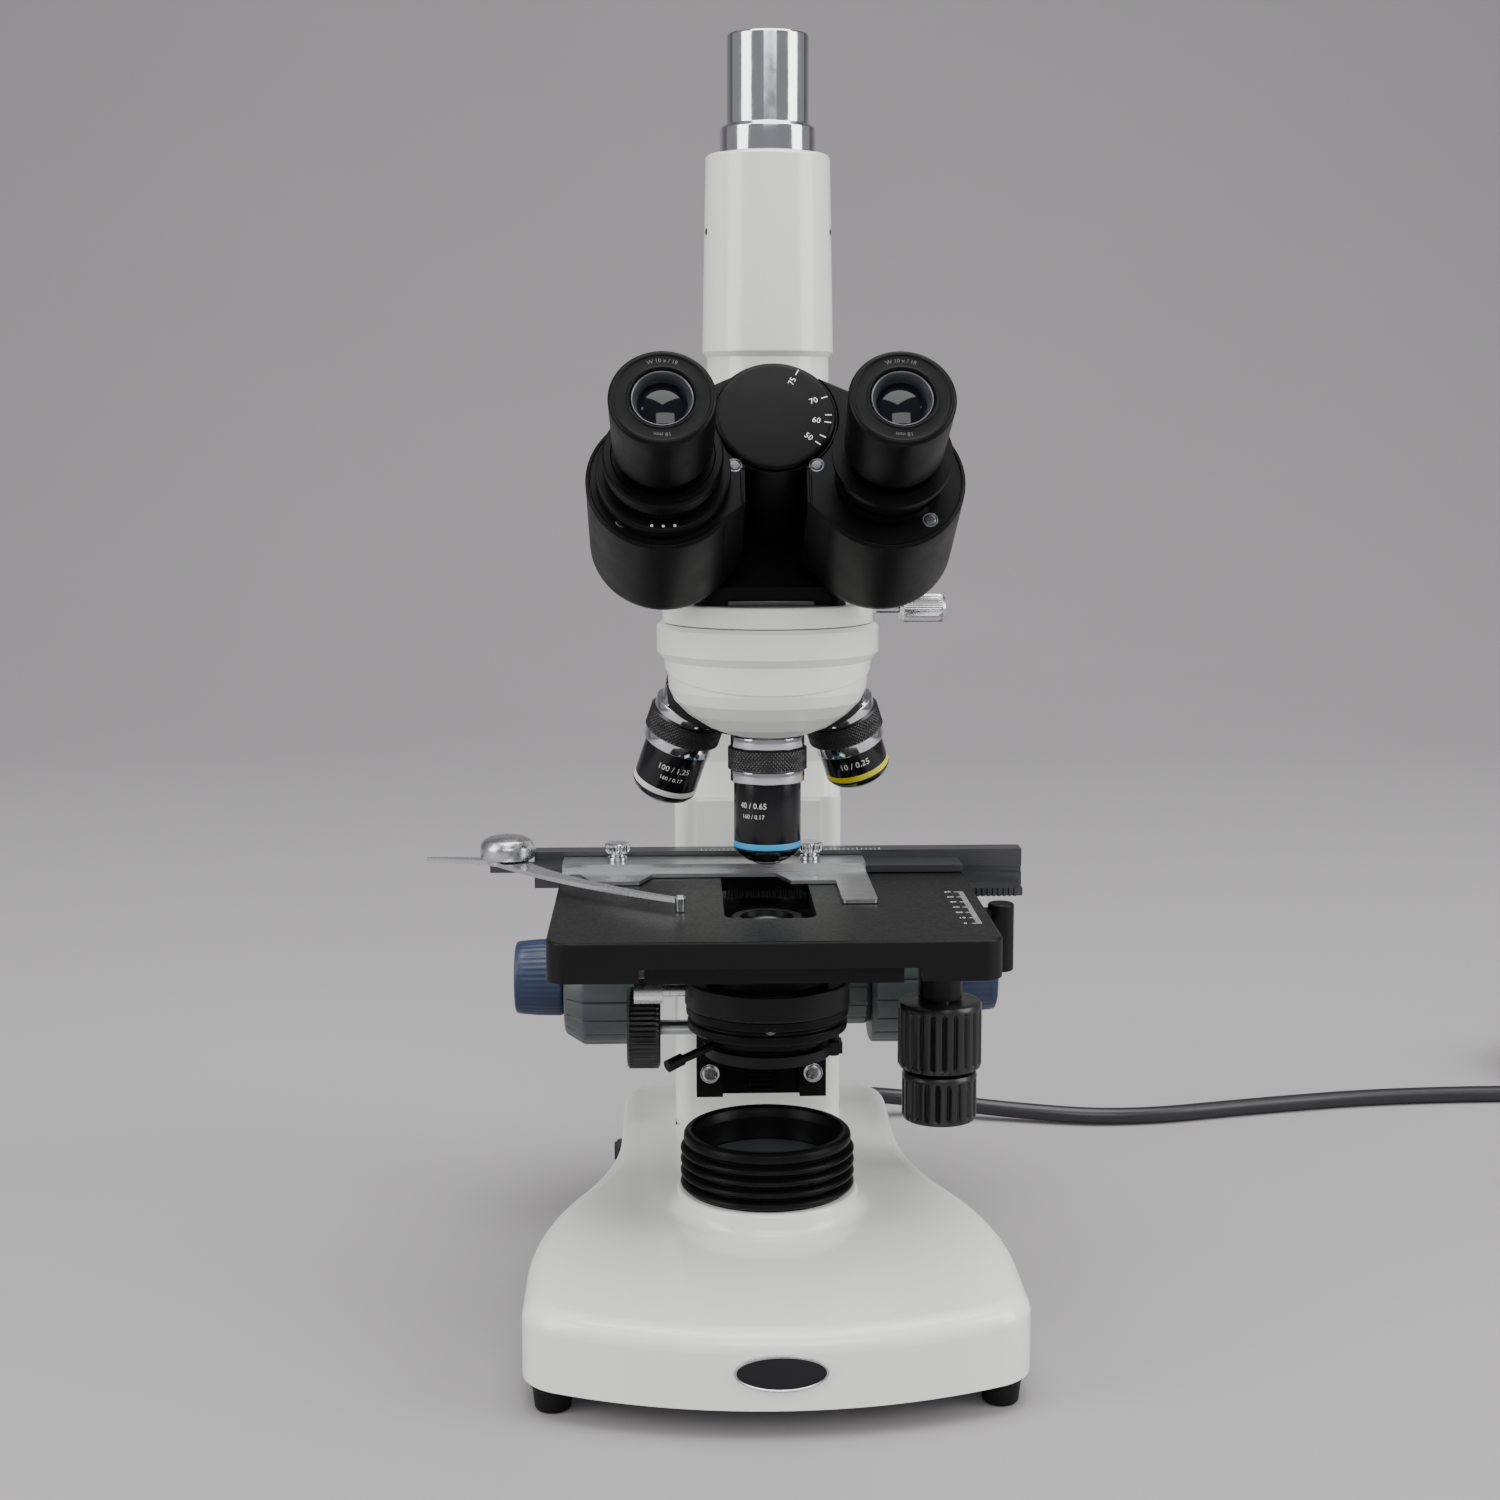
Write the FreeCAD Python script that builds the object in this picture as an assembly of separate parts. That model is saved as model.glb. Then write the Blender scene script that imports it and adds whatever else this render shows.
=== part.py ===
"""Trinocular laboratory microscope with a mechanical stage, modelled in millimetres.

Frame: +Z is up, the front of the microscope faces -Y, and the origin is the point where the
vertical optical axis meets the table top. One STEP file is written for each piece.
"""
import FreeCAD
import Part
import math
import os

from FreeCAD import Placement, Rotation, Vector

# ---------------------------------------------------------------- driving dimensions (mm)

# base casting
BASE_BOTTOM = 9.0
BASE_FRONT_Y = -98.0
BASE_CORNER_Y = -79.0
BASE_REAR_Y = 128.0
BASE_HALF_FRONT = 73.5
BASE_HALF_REAR = 48.0
BASE_WAIST_FRONT_Y = -45.0
BASE_WAIST_REAR_Y = 75.0
BASE_TOP_FRONT = 31.0
BASE_TOP_REAR = 37.0
BASE_WALL = 4.0
BASE_CAVITY_TOP = 26.5
BASE_CORNER_R = 17.0
BASE_EDGE_R = 6.0
PEDESTAL_R = 28.75
PEDESTAL_TOP = 40.0
PEDESTAL_BORE = 21.0

# feet and fasteners underneath
FOOT_TOP_R = 6.2
FOOT_TIP_R = 5.2
FOOT_PLACES = [(-64.5, -73.0), (64.5, -73.0), (-36.0, 112.0), (36.0, 112.0)]
PLATE_T = 1.6
SCREW_HEAD_R = 2.8
SCREW_PLACES = [(0.0, -86.0), (-55.0, -20.0), (55.0, -20.0), (-30.0, 96.0), (30.0, 96.0)]

# illuminator
COLLAR_R = 27.6
COLLAR_RIM_R = 26.6
COLLAR_TOP = 58.4
COLLAR_BORE = 21.0
COLLAR_RIBS = 4
COLLECTOR_Z = 46.5
LAMP_Z = 30.0

# arm
ARM_HALF = 29.0
ARM_FRONT_Y = 76.0
ARM_REAR_Y = 122.0
ARM_FOOT_Z = 31.0
ARM_EDGE_R = 6.0
CROWN_Z = 218.0
NOSE_R = 32.1
NOSE_LOW_R = 31.2
COLLAR_SEAT_R = 34.35
COLLAR_SEAT_Z = 209.5
HEAD_SEAT_Z = 220.0
SELECTOR_Z = 223.9
HEAD_FLANGE_TOP = 226.6
LIGHT_PATH_R = 11.0

# focus
FOCUS_Y = 98.0
FOCUS_Z = 83.6
GUIDE_HALF = 21.4
GUIDE_Y = 72.5
GUIDE_TOP = 151.0
CARRIAGE_TOP = 118.0
CARRIAGE_BOTTOM = 78.0
CARRIAGE_FRONT_Y = 60.0
COARSE_R = 24.0
COARSE_IN = 40.4
COARSE_OUT = 68.2
FINE_R = 13.7
FINE_OUT = 86.0
COARSE_SHAFT_R = 6.0
FINE_SHAFT_R = 3.0
TENSION_R = 17.5

# stage
STAGE_TOP = 132.6
STAGE_T = 5.0
STAGE_SKIRT_BOTTOM = 120.6
STAGE_HALF = 66.5
STAGE_FRONT_Y = -60.0
STAGE_REAR_Y = 50.0
STAGE_CORNER_R = 7.0
OPENING_HALF = 14.0
OPENING_FRONT_Y = -29.0
OPENING_REAR_Y = 37.0
LOWER_HALF = 38.0
LOWER_TOP = 122.6
LOWER_BOTTOM = 118.3

# stage drive and slide holder
DRIVE_X = 59.0
DRIVE_Y = 36.0
DRIVE_SLEEVE_R = 7.35
Y_PINION_R = 5.2
X_PINION_R = 4.0
TEETH_GAP = 0.3
X_BAR_LEFT = -76.0
X_BAR_RIGHT = 88.0
X_BAR_FRONT_Y = 51.0
X_BAR_REAR_Y = 59.0
HOLDER_T = 1.2
SPRING_X = -84.5
SPRING_Y = 45.0

# condenser
CONDENSER_R = 26.0
CONDENSER_BOTTOM = 91.4
CONDENSER_TIP_Z = 127.0
CONDENSER_BORE = 14.0
CARRIER_Z = 99.0
CARRIER_BORE = 19.6
IRIS_R = 18.6
CLAMP_Z = 103.2
CLAMP_NECK_R = 1.9
FILTER_PIN_X = 21.0
FILTER_R = 20.0
FILTER_BORE = 16.5
FILTER_BOTTOM = 83.3
FILTER_TOP = 86.7
FILTER_PIN_R = 1.8
RAIL_HALF = 21.9
RAIL_FRONT_Y = 48.0
CONDENSER_KNOB_Y = 42.0
CONDENSER_KNOB_Z = 80.0
CONDENSER_KNOB_R = 13.5
CONDENSER_KNOB_IN = 34.0
CONDENSER_SHAFT_R = 2.5
CONDENSER_PINION_R = 4.5

# nosepiece and objectives
NOSE_TILT = 17.5
APEX_Z = 262.0
SEAT_A = 77.5
TURRET_R = 31.5
TURRET_TOP_H = 66.0
OBJECTIVES = {"objective_40x": (0, 40.5), "objective_10x": (1, 29.5),
              "objective_4x": (2, 22.0), "objective_100x": (3, 35.0)}

# viewing head
HEAD_PITCH = 60.0
HUB_FACE_Y = -48.4
HUB_FACE_Z = 282.7
HUB_RING_R = 18.0
HUB_BORE_R = 8.0
HUB_DISC_R = 17.3
WING_DEPTH = 46.0
WING_R = 22.0
WING_REAR_R = 8.0
TUBE_X = 31.8
TUBE_Q = -20.0
TUBE_BORE_R = 11.65
EYEPIECE_BARREL_R = 11.58
EYEPIECE_R = 14.5
EYEPIECE_LOW_R = 13.9
EYEPIECE_FACE_H = 45.5
RING_TOP_H = 15.0
RING_R = 16.85
NECK_R = 18.65
NECK_BOTTOM = 276.0
WING_ROOM = 2.2
NECK_BORE_R = 11.0
TRI_BORE_R = 12.0
TRI_LOW_R = 20.0
TRI_HIGH_R = 18.9
TRI_BOTTOM = 301.0
TRI_TOP = 361.6
PHOTO_RING_R = 14.5
PHOTO_RING_TOP = 370.3
PHOTO_TUBE_R = 12.5
PHOTO_BORE_R = 11.6
PHOTO_TOP = 397.5

# mains cord
CORD_D = 6.5
CORD_EXIT_X = 20.0
CORD_EXIT_Z = 20.0
GLAND_LENGTH = 24.0
CORD_ROUTE = [(20.0, 150.0, 20.0), (21.0, 169.5, 17.0), (31.0, 186.0, 13.0), (47.0, 195.5, 9.6),
              (69.0, 197.5, 6.9), (104.0, 188.5, 4.6), (150.0, 179.0, 3.4), (207.0, 194.0, 3.4),
              (268.0, 206.5, 3.4), (351.0, 207.0, 3.4)]
COIL_X = 377.0
COIL_Y = 243.5
COIL_R = 36.0
COIL_HALF_WIDTH = 9.8
COIL_HEIGHT = 14.0
PLUG_X = 419.0
PLUG_Y = 279.0
PLUG_LENGTH = 32.0

X = Vector(1, 0, 0)
Y = Vector(0, 1, 0)
Z = Vector(0, 0, 1)
ORIGIN = Vector(0, 0, 0)


# ---------------------------------------------------------------- small helpers

def box(x0, x1, y0, y1, z0, z1):
    """A box between two corners."""
    return Part.makeBox(x1 - x0, y1 - y0, z1 - z0, Vector(x0, y0, z0))


def rod(radius, start, end):
    """A round bar from start to end."""
    start = Vector(*start)
    along = Vector(*end) - start
    return Part.makeCylinder(radius, along.Length, start, along)


def disc(radius, z0, z1, x=0.0, y=0.0):
    """An upright cylinder."""
    return Part.makeCylinder(radius, z1 - z0, Vector(x, y, z0))


def tube(outer, inner, z0, z1, x=0.0, y=0.0):
    """An upright hollow cylinder."""
    return disc(outer, z0, z1, x, y).cut(disc(inner, z0 - 1, z1 + 1, x, y))


def turned(profile):
    """A solid of revolution about Z from (radius, z) points, closed back to the first one."""
    points = [Vector(r, 0, z) for r, z in profile]
    face = Part.Face(Part.makePolygon(points + [points[0]]))
    return face.revolve(ORIGIN, Z, 360)


def extruded(points, along):
    """A prism on a closed polygon of 3-D points."""
    corners = [Vector(*p) for p in points]
    return Part.Face(Part.makePolygon(corners + [corners[0]])).extrude(along)


def joined(shapes):
    """One solid out of overlapping or touching shapes."""
    shapes = list(shapes)
    return shapes[0].multiFuse(shapes[1:]).removeSplitter()


def upright_edges(shape, test):
    """Vertical edges whose middle passes a test of (x, y)."""
    found = []
    for edge in shape.Edges:
        low, high = edge.Vertexes[0].Point, edge.Vertexes[-1].Point
        straight = abs(low.x - high.x) < 1e-6 and abs(low.y - high.y) < 1e-6
        if straight and abs(low.z - high.z) > 1.0 and test(low.x, low.y):
            found.append(edge)
    return found


def edges_in(shape, x=(-999, 999), y=(-999, 999), z=(-999, 999)):
    """Edges whose bounding box lies inside the given limits."""
    found = []
    for edge in shape.Edges:
        b = edge.BoundBox
        inside = x[0] <= b.XMin and b.XMax <= x[1] and y[0] <= b.YMin and b.YMax <= y[1]
        if inside and z[0] <= b.ZMin and b.ZMax <= z[1]:
            found.append(edge)
    return found


def softened(shape, radius, edges):
    """Round the edges, or leave them sharp when the kernel can't round them."""
    if not edges:
        return shape
    try:
        rounded = shape.makeFillet(radius, edges)
    except Part.OCCError:
        print("left sharp at radius", radius)
        return shape
    return rounded if rounded.isValid() else shape


def placed(shape, placement):
    """A copy of the shape under a placement."""
    moved = shape.copy()
    moved.Placement = placement.multiply(moved.Placement)
    return moved


def across(shape, x, y, z):
    """Turn a shape drawn along +Z so that it runs along +X from (x, y, z)."""
    return placed(shape, Placement(Vector(x, y, z), Rotation(Y, 90)))


def toothed(radius, z0, z1, teeth, depth):
    """A small gear wheel with straight-sided teeth inside the given tip radius."""
    points = []
    for i in range(teeth):
        for step, r in ((-0.3, radius - depth), (-0.14, radius), (0.14, radius), (0.3, radius - depth)):
            angle = 2 * math.pi * (i + step) / teeth
            points.append((r * math.cos(angle), r * math.sin(angle), z0))
    return extruded(points, Vector(0, 0, z1 - z0))


def top_plane_z(y):
    """Height of the sloping top of the base at a given y."""
    slope = (BASE_TOP_REAR - BASE_TOP_FRONT) / (BASE_REAR_Y - BASE_FRONT_Y)
    return BASE_TOP_FRONT + slope * (y - BASE_FRONT_Y)


# ---------------------------------------------------------------- base

def waist_arcs(side, inset=0.0):
    """The S-shaped side of the base, from the wide front to the narrow rear, as two arcs."""
    x0, y0 = BASE_HALF_FRONT - inset, BASE_WAIST_FRONT_Y
    x1, y1 = BASE_HALF_REAR - inset, BASE_WAIST_REAR_Y
    turn = 2 * math.atan((x0 - x1) / (y1 - y0))
    radius = (y1 - y0) / (2 * math.sin(turn))
    sag_x = radius * (1 - math.cos(turn / 2))
    sag_y = radius * math.sin(turn / 2)
    middle = Vector(side * (x0 + x1) / 2, (y0 + y1) / 2, 0)
    wide = Vector(side * x0, y0, 0)
    narrow = Vector(side * x1, y1, 0)
    first = Part.Arc(wide, Vector(side * (x0 - sag_x), y0 + sag_y, 0), middle)
    second = Part.Arc(middle, Vector(side * (x1 + sag_x), y1 - sag_y, 0), narrow)
    return first.toShape(), second.toShape()


def base_outline(inset=0.0):
    """Closed wire of the base seen from above."""
    wide = BASE_HALF_FRONT - inset
    narrow = BASE_HALF_REAR - inset
    front_left = Vector(-wide, BASE_CORNER_Y + inset, 0)
    front_right = Vector(wide, BASE_CORNER_Y + inset, 0)
    front_mid = Vector(0, BASE_FRONT_Y + inset, 0)
    rear_y = BASE_REAR_Y - inset
    right = waist_arcs(1, inset)
    left = waist_arcs(-1, inset)
    edges = [Part.Arc(front_left, front_mid, front_right).toShape(),
             Part.makeLine(front_right, Vector(wide, BASE_WAIST_FRONT_Y, 0)), right[0], right[1],
             Part.makeLine(Vector(narrow, BASE_WAIST_REAR_Y, 0), Vector(narrow, rear_y, 0)),
             Part.makeLine(Vector(narrow, rear_y, 0), Vector(-narrow, rear_y, 0)),
             Part.makeLine(Vector(-narrow, rear_y, 0), Vector(-narrow, BASE_WAIST_REAR_Y, 0)),
             left[1], left[0],
             Part.makeLine(Vector(-wide, BASE_WAIST_FRONT_Y, 0), front_left)]
    return Part.Wire(Part.__sortEdges__(edges))


def base_slab(inset, z0, z1, corner_r):
    """The base outline extruded, with its four upright corners rounded."""
    slab = Part.Face(base_outline(inset)).extrude(Vector(0, 0, z1 - z0))
    slab.translate(Vector(0, 0, z0))
    corners = upright_edges(slab, lambda x, y: y < BASE_CORNER_Y + 12 or y > BASE_REAR_Y - 12)
    return softened(slab, corner_r, corners)


def base_casting():
    """White die-cast base: a hollow shell with the illuminator pedestal on top."""
    blank = base_slab(0.0, BASE_BOTTOM, 60.0, BASE_CORNER_R)
    front_z, rear_z = top_plane_z(-120), top_plane_z(150)
    above = extruded([(-120, -120, front_z), (-120, 150, rear_z), (-120, 150, 90), (-120, -120, 90)],
                     Vector(240, 0, 0))
    body = blank.cut(above)
    body = softened(body, BASE_EDGE_R, edges_in(body, z=(BASE_TOP_FRONT - 1, BASE_TOP_REAR + 2)))
    pedestal = disc(PEDESTAL_R, 24.0, PEDESTAL_TOP)
    body = joined([body, pedestal])
    foot_ring = edges_in(body, x=(-30, 30), y=(-30, 30), z=(32, 36))
    body = softened(body, 4.0, foot_ring)
    body = softened(body, 1.2, edges_in(body, x=(-30, 30), y=(-30, 30), z=(PEDESTAL_TOP - 0.1, 41)))
    cavity = base_slab(BASE_WALL, BASE_BOTTOM - 1, BASE_CAVITY_TOP, BASE_CORNER_R - BASE_WALL)
    bore = disc(PEDESTAL_BORE, BASE_BOTTOM, PEDESTAL_TOP + 2)
    arm_pocket = box(-ARM_HALF, ARM_HALF, ARM_FRONT_Y, ARM_REAR_Y, ARM_FOOT_Z, 60)
    gland_hole = rod(5.0, (CORD_EXIT_X, BASE_REAR_Y - 8, CORD_EXIT_Z), (CORD_EXIT_X, BASE_REAR_Y + 2, CORD_EXIT_Z))
    rocker_hole = box(-26.5, -9.5, BASE_REAR_Y - 8, BASE_REAR_Y + 2, 12.9, 25.3)
    wheel_slot = box(-BASE_HALF_REAR - 2, -BASE_HALF_REAR + 6, 86.0, 106.0, 17.0, 23.0)
    return body.cut([cavity, bore, arm_pocket, gland_hole, rocker_hole, wheel_slot])


def base_plate():
    """Sheet-steel plate that closes the base from below."""
    plate = base_slab(BASE_WALL + 0.2, BASE_BOTTOM, BASE_BOTTOM + PLATE_T, BASE_CORNER_R - BASE_WALL)
    holes = [disc(1.6, BASE_BOTTOM - 1, BASE_BOTTOM + 4, x, y) for x, y in SCREW_PLACES]
    vents = [box(-20 + 8 * i, -16 + 8 * i, 20, 50, BASE_BOTTOM - 1, BASE_BOTTOM + 4) for i in range(6)]
    return plate.cut(holes + vents)


def rubber_feet():
    """Four tapered rubber feet, each screwed flat against the underside."""
    feet = []
    for x, y in FOOT_PLACES:
        foot = Part.makeCone(FOOT_TIP_R, FOOT_TOP_R, BASE_BOTTOM, Vector(x, y, 0))
        feet.append(softened(foot, 1.0, edges_in(foot, z=(-0.1, 0.1))))
    return Part.makeCompound(feet)


def base_screws():
    """Pan-head screws that hold the bottom plate."""
    screws = []
    for x, y in SCREW_PLACES:
        head = disc(SCREW_HEAD_R, BASE_BOTTOM - 2.0, BASE_BOTTOM, x, y)
        head = softened(head, 0.8, edges_in(head, z=(BASE_BOTTOM - 2.1, BASE_BOTTOM - 1.9)))
        shank = disc(1.5, BASE_BOTTOM - 0.5, BASE_BOTTOM + PLATE_T + 3, x, y)
        slot = box(x - 3, x + 3, y - 0.4, y + 0.4, BASE_BOTTOM - 3, BASE_BOTTOM - 1.2)
        screws.append(joined([head, shank]).cut(slot))
    return Part.makeCompound(screws)


def base_badge():
    """Blank oval badge that follows the curved front of the base."""
    chord = BASE_CORNER_Y - BASE_FRONT_Y
    radius = (BASE_HALF_FRONT ** 2 + chord ** 2) / (2 * chord)
    centre_y = BASE_FRONT_Y + radius
    oval = Part.Ellipse(ORIGIN, 13.3, 5.3).toShape()
    face = Part.Face(Part.Wire([oval]))
    prism = placed(face, Placement(Vector(0, 0, 20.0), Rotation(X, 90))).extrude(Vector(0, -140, 0))
    shell = tube(radius + 0.9, radius, 10, 32, 0, centre_y)
    return shell.common(prism)


# ---------------------------------------------------------------- illuminator

def illuminator_collar():
    """Black collar with four round-edged ribs round the field lens."""
    pitch = (COLLAR_TOP - 4.0 - PEDESTAL_TOP) / COLLAR_RIBS
    profile = [(COLLAR_BORE, PEDESTAL_TOP), (COLLAR_R - 1.2, PEDESTAL_TOP)]
    for i in range(COLLAR_RIBS):
        z = PEDESTAL_TOP + i * pitch
        profile += [(COLLAR_R, z + 0.9), (COLLAR_R, z + pitch - 1.5), (COLLAR_R - 2.2, z + pitch - 0.4)]
    profile += [(COLLAR_RIM_R, COLLAR_TOP - 3.2), (COLLAR_RIM_R - 0.8, COLLAR_TOP),
                (COLLAR_RIM_R - 3.0, COLLAR_TOP), (COLLAR_BORE + 1.2, COLLAR_TOP - 2.5),
                (COLLAR_BORE + 1.2, COLLECTOR_Z), (COLLAR_BORE - 4.0, COLLECTOR_Z),
                (COLLAR_BORE - 4.0, COLLECTOR_Z - 2.0), (COLLAR_BORE, COLLECTOR_Z - 3.0)]
    return turned(profile)


def collector_lens():
    """Frosted field lens that lies on the ledge inside the collar."""
    r = COLLAR_BORE + 1.0
    z = COLLECTOR_Z
    return turned([(0, z), (r, z), (r, z + 1.4), (r * 0.6, z + 2.2), (0, z + 2.5)])


def lamp_socket():
    """Ceramic lamp socket that stands on the bottom plate."""
    foot = disc(11.0, BASE_BOTTOM + PLATE_T, BASE_BOTTOM + PLATE_T + 3.0)
    block = box(-7, 7, -5, 5, BASE_BOTTOM + PLATE_T + 2.0, LAMP_Z - 8.0)
    return joined([foot, block])


def halogen_lamp():
    """Small two-pin halogen lamp plugged into the socket."""
    z = LAMP_Z - 8.0
    return turned([(0, z), (4.0, z), (4.6, z + 4), (4.6, z + 12), (2.6, z + 15.5), (0, z + 16.5)])


def transformer():
    """Laminated mains transformer inside the base."""
    core = box(-22, 22, 54, 70, BASE_BOTTOM + PLATE_T, 25.5)
    winding = box(-14, 14, 50, 74, BASE_BOTTOM + PLATE_T + 1.2, 24.0)
    return joined([core, winding])


def power_rocker():
    """Rocker of the mains switch; it tips about its middle in the rear wall."""
    side = [(-26.2, 124.4, 14.2), (-26.2, 124.4, 23.8), (-26.2, 130.4, 23.8), (-26.2, 128.6, 19.0),
            (-26.2, 127.6, 14.2)]
    return extruded(side, Vector(16.4, 0, 0))


def dimmer_wheel():
    """Thumb wheel of the lamp dimmer, standing out of a slot in the left side."""
    wheel = disc(9.6, 17.4, 22.6, -BASE_HALF_REAR + 6.4, 96.0)
    flutes = []
    for i in range(18):
        angle = 2 * math.pi * i / 18
        x = -BASE_HALF_REAR + 6.4 + 10.0 * math.cos(angle)
        flutes.append(disc(0.9, 16, 24, x, 96.0 + 10.0 * math.sin(angle)))
    spindle = disc(1.5, BASE_BOTTOM + PLATE_T + 0.2, 18.0, -BASE_HALF_REAR + 6.4, 96.0)
    return joined([wheel.cut(flutes), spindle])


# ---------------------------------------------------------------- mains cord

def cord_gland():
    """Tapered rubber strain relief with a flange outside the rear wall."""
    y0 = BASE_REAR_Y - 8.0
    grommet = rod(4.9, (CORD_EXIT_X, y0, CORD_EXIT_Z), (CORD_EXIT_X, BASE_REAR_Y, CORD_EXIT_Z))
    flange = rod(7.0, (CORD_EXIT_X, BASE_REAR_Y, CORD_EXIT_Z), (CORD_EXIT_X, BASE_REAR_Y + 2, CORD_EXIT_Z))
    start = Vector(CORD_EXIT_X, BASE_REAR_Y + 2, CORD_EXIT_Z)
    taper = Part.makeCone(5.6, CORD_D / 2 + 0.4, CORD_ROUTE[0][1] - BASE_REAR_Y - 2, start, Y)
    return joined([grommet, flange, taper])


def bent_path(points):
    """Straight runs joined by tangent arcs; prints every radius."""
    places = [Vector(*p) for p in points]
    edges = []
    radii = []
    last = places[0]
    for before, here, after in zip(places, places[1:], places[2:]):
        into = here - before
        out = after - here
        half = into.getAngle(out) / 2
        reach = 0.45 * min(into.Length, out.Length)
        radii.append(reach / math.tan(half))
        into.normalize()
        out.normalize()
        arc_start = here - into * reach
        arc_end = here + out * reach
        inward = (out - into).normalize()
        depth = radii[-1] * (1 / math.cos(half) - 1)
        edges.append(Part.makeLine(last, arc_start))
        edges.append(Part.Arc(arc_start, here + inward * depth, arc_end).toShape())
        last = arc_end
    edges.append(Part.makeLine(last, places[-1]))
    print("cord radii", [round(r, 1) for r in radii])
    return Part.Wire(edges)


def mains_cord():
    """The uncoiled stretch of the mains cord."""
    path = bent_path(CORD_ROUTE)
    start = Vector(*CORD_ROUTE[0])
    direction = Vector(*CORD_ROUTE[1]) - start
    circle = Part.Wire([Part.makeCircle(CORD_D / 2, start, direction)])
    cord = path.makePipeShell([circle], True, False)
    expected = math.pi * (CORD_D / 2) ** 2 * path.Length
    print("free cord length", round(path.Length, 1), "volume ratio", round(cord.Volume / expected, 4))
    return cord


def mains_cord_coil():
    """Outer shape of the neat coil at the far end of the cord."""
    outer = COIL_R + COIL_HALF_WIDTH
    inner = COIL_R - COIL_HALF_WIDTH
    ring = tube(outer, inner, 0.0, COIL_HEIGHT, COIL_X, COIL_Y)
    return softened(ring, 2.5, [e for e in ring.Edges if e.BoundBox.ZLength < 0.01])


def mains_plug():
    """Moulded plug with two flat blades, an earth pin and its own strain relief."""
    end_y = PLUG_Y + PLUG_LENGTH
    body = box(PLUG_X - 12, PLUG_X + 12, PLUG_Y, end_y, 0.0, 20.0)
    body = softened(body, 4.0, [e for e in body.Edges if e.BoundBox.YLength > PLUG_LENGTH - 1])
    relief = Part.makeCone(CORD_D / 2 + 0.3, 5.4, 16.0, Vector(PLUG_X, PLUG_Y - 15.0, 10.0), Y)
    blades = [box(PLUG_X + side - 0.8, PLUG_X + side + 0.8, end_y - 3, end_y + 16, 9, 15) for side in (-6.4, 6.4)]
    earth = rod(2.4, (PLUG_X, end_y - 3, 5.0), (PLUG_X, end_y + 18, 5.0))
    return joined([body, relief] + blades + [earth])


# ---------------------------------------------------------------- arm

def arm_profile():
    """Side outline of the column, crown and neck of the arm as (y, z) points."""
    return [(ARM_FRONT_Y, ARM_FOOT_Z), (ARM_FRONT_Y, 152.0), (85.0, 163.0), (85.0, 175.0),
            (67.5, 204.0), (58.0, 208.5), (55.4, 212.6), (38.0, 207.6), (0.0, 207.6),
            (0.0, CROWN_Z), (100.0, CROWN_Z), (114.0, 213.0), (ARM_REAR_Y, 198.0),
            (ARM_REAR_Y, ARM_FOOT_Z)]


def arm_column():
    """Column and crown as one extrusion, with rounded upright and top edges."""
    points = [(-ARM_HALF, y, z) for y, z in arm_profile()]
    column = extruded(points, Vector(2 * ARM_HALF, 0, 0))
    sides = [e for e in column.Edges if e.BoundBox.XLength < 0.01]
    rear = [e for e in sides if e.BoundBox.YMin > 99.9 or e.BoundBox.ZMin > CROWN_Z - 0.1]
    column = softened(column, ARM_EDGE_R, rear)
    sides = [e for e in column.Edges if e.BoundBox.XLength < 0.01]
    front = [e for e in sides if 55 < e.BoundBox.YMin < 90 and e.BoundBox.ZMax < 205]
    return softened(column, ARM_EDGE_R, front)


def arm_casting():
    """White arm: column, crown, round nose over the nosepiece and the head socket."""
    nose = turned([(0, 190), (NOSE_LOW_R, 190), (NOSE_LOW_R, 197), (NOSE_R, COLLAR_SEAT_Z - 1),
                   (COLLAR_SEAT_R, COLLAR_SEAT_Z + 1.6), (COLLAR_SEAT_R, HEAD_SEAT_Z - 1.2),
                   (COLLAR_SEAT_R - 1.2, HEAD_SEAT_Z), (0, HEAD_SEAT_Z)])
    below_seam = extruded([(-60, -60, 194.6), (-60, 5, 207.6), (-60, 60, 207.6), (-60, 60, 150),
                           (-60, -60, 150)], Vector(120, 0, 0))
    nose = nose.cut(below_seam)
    boss = box(-GUIDE_HALF, GUIDE_HALF, GUIDE_Y + 1.5, ARM_FRONT_Y, 74.0, GUIDE_TOP)
    arm = joined([arm_column(), nose, boss])
    socket = turned([(0, 212), (24.0, 212), (24.0, 216.0), (22.7, HEAD_SEAT_Z + 1), (0, HEAD_SEAT_Z + 1)])
    light_path = disc(LIGHT_PATH_R, 190, 230)
    shaft_bore = rod(COARSE_SHAFT_R + 0.1, (-60, FOCUS_Y, FOCUS_Z), (60, FOCUS_Y, FOCUS_Z))
    rack_slot = box(-7.2, 7.2, GUIDE_Y - 1, FOCUS_Y + 9, CARRIAGE_BOTTOM - 14, CARRIAGE_TOP + 12)
    return arm.cut([socket, light_path, shaft_bore, rack_slot])


def focus_guide():
    """Pair of hardened guide strips screwed to the front of the arm."""
    strips = [box(x, x + 5.0, GUIDE_Y, GUIDE_Y + 1.5, 74.0, GUIDE_TOP - 20) for x in (-19.0, 14.0)]
    return Part.makeCompound(strips)


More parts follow.
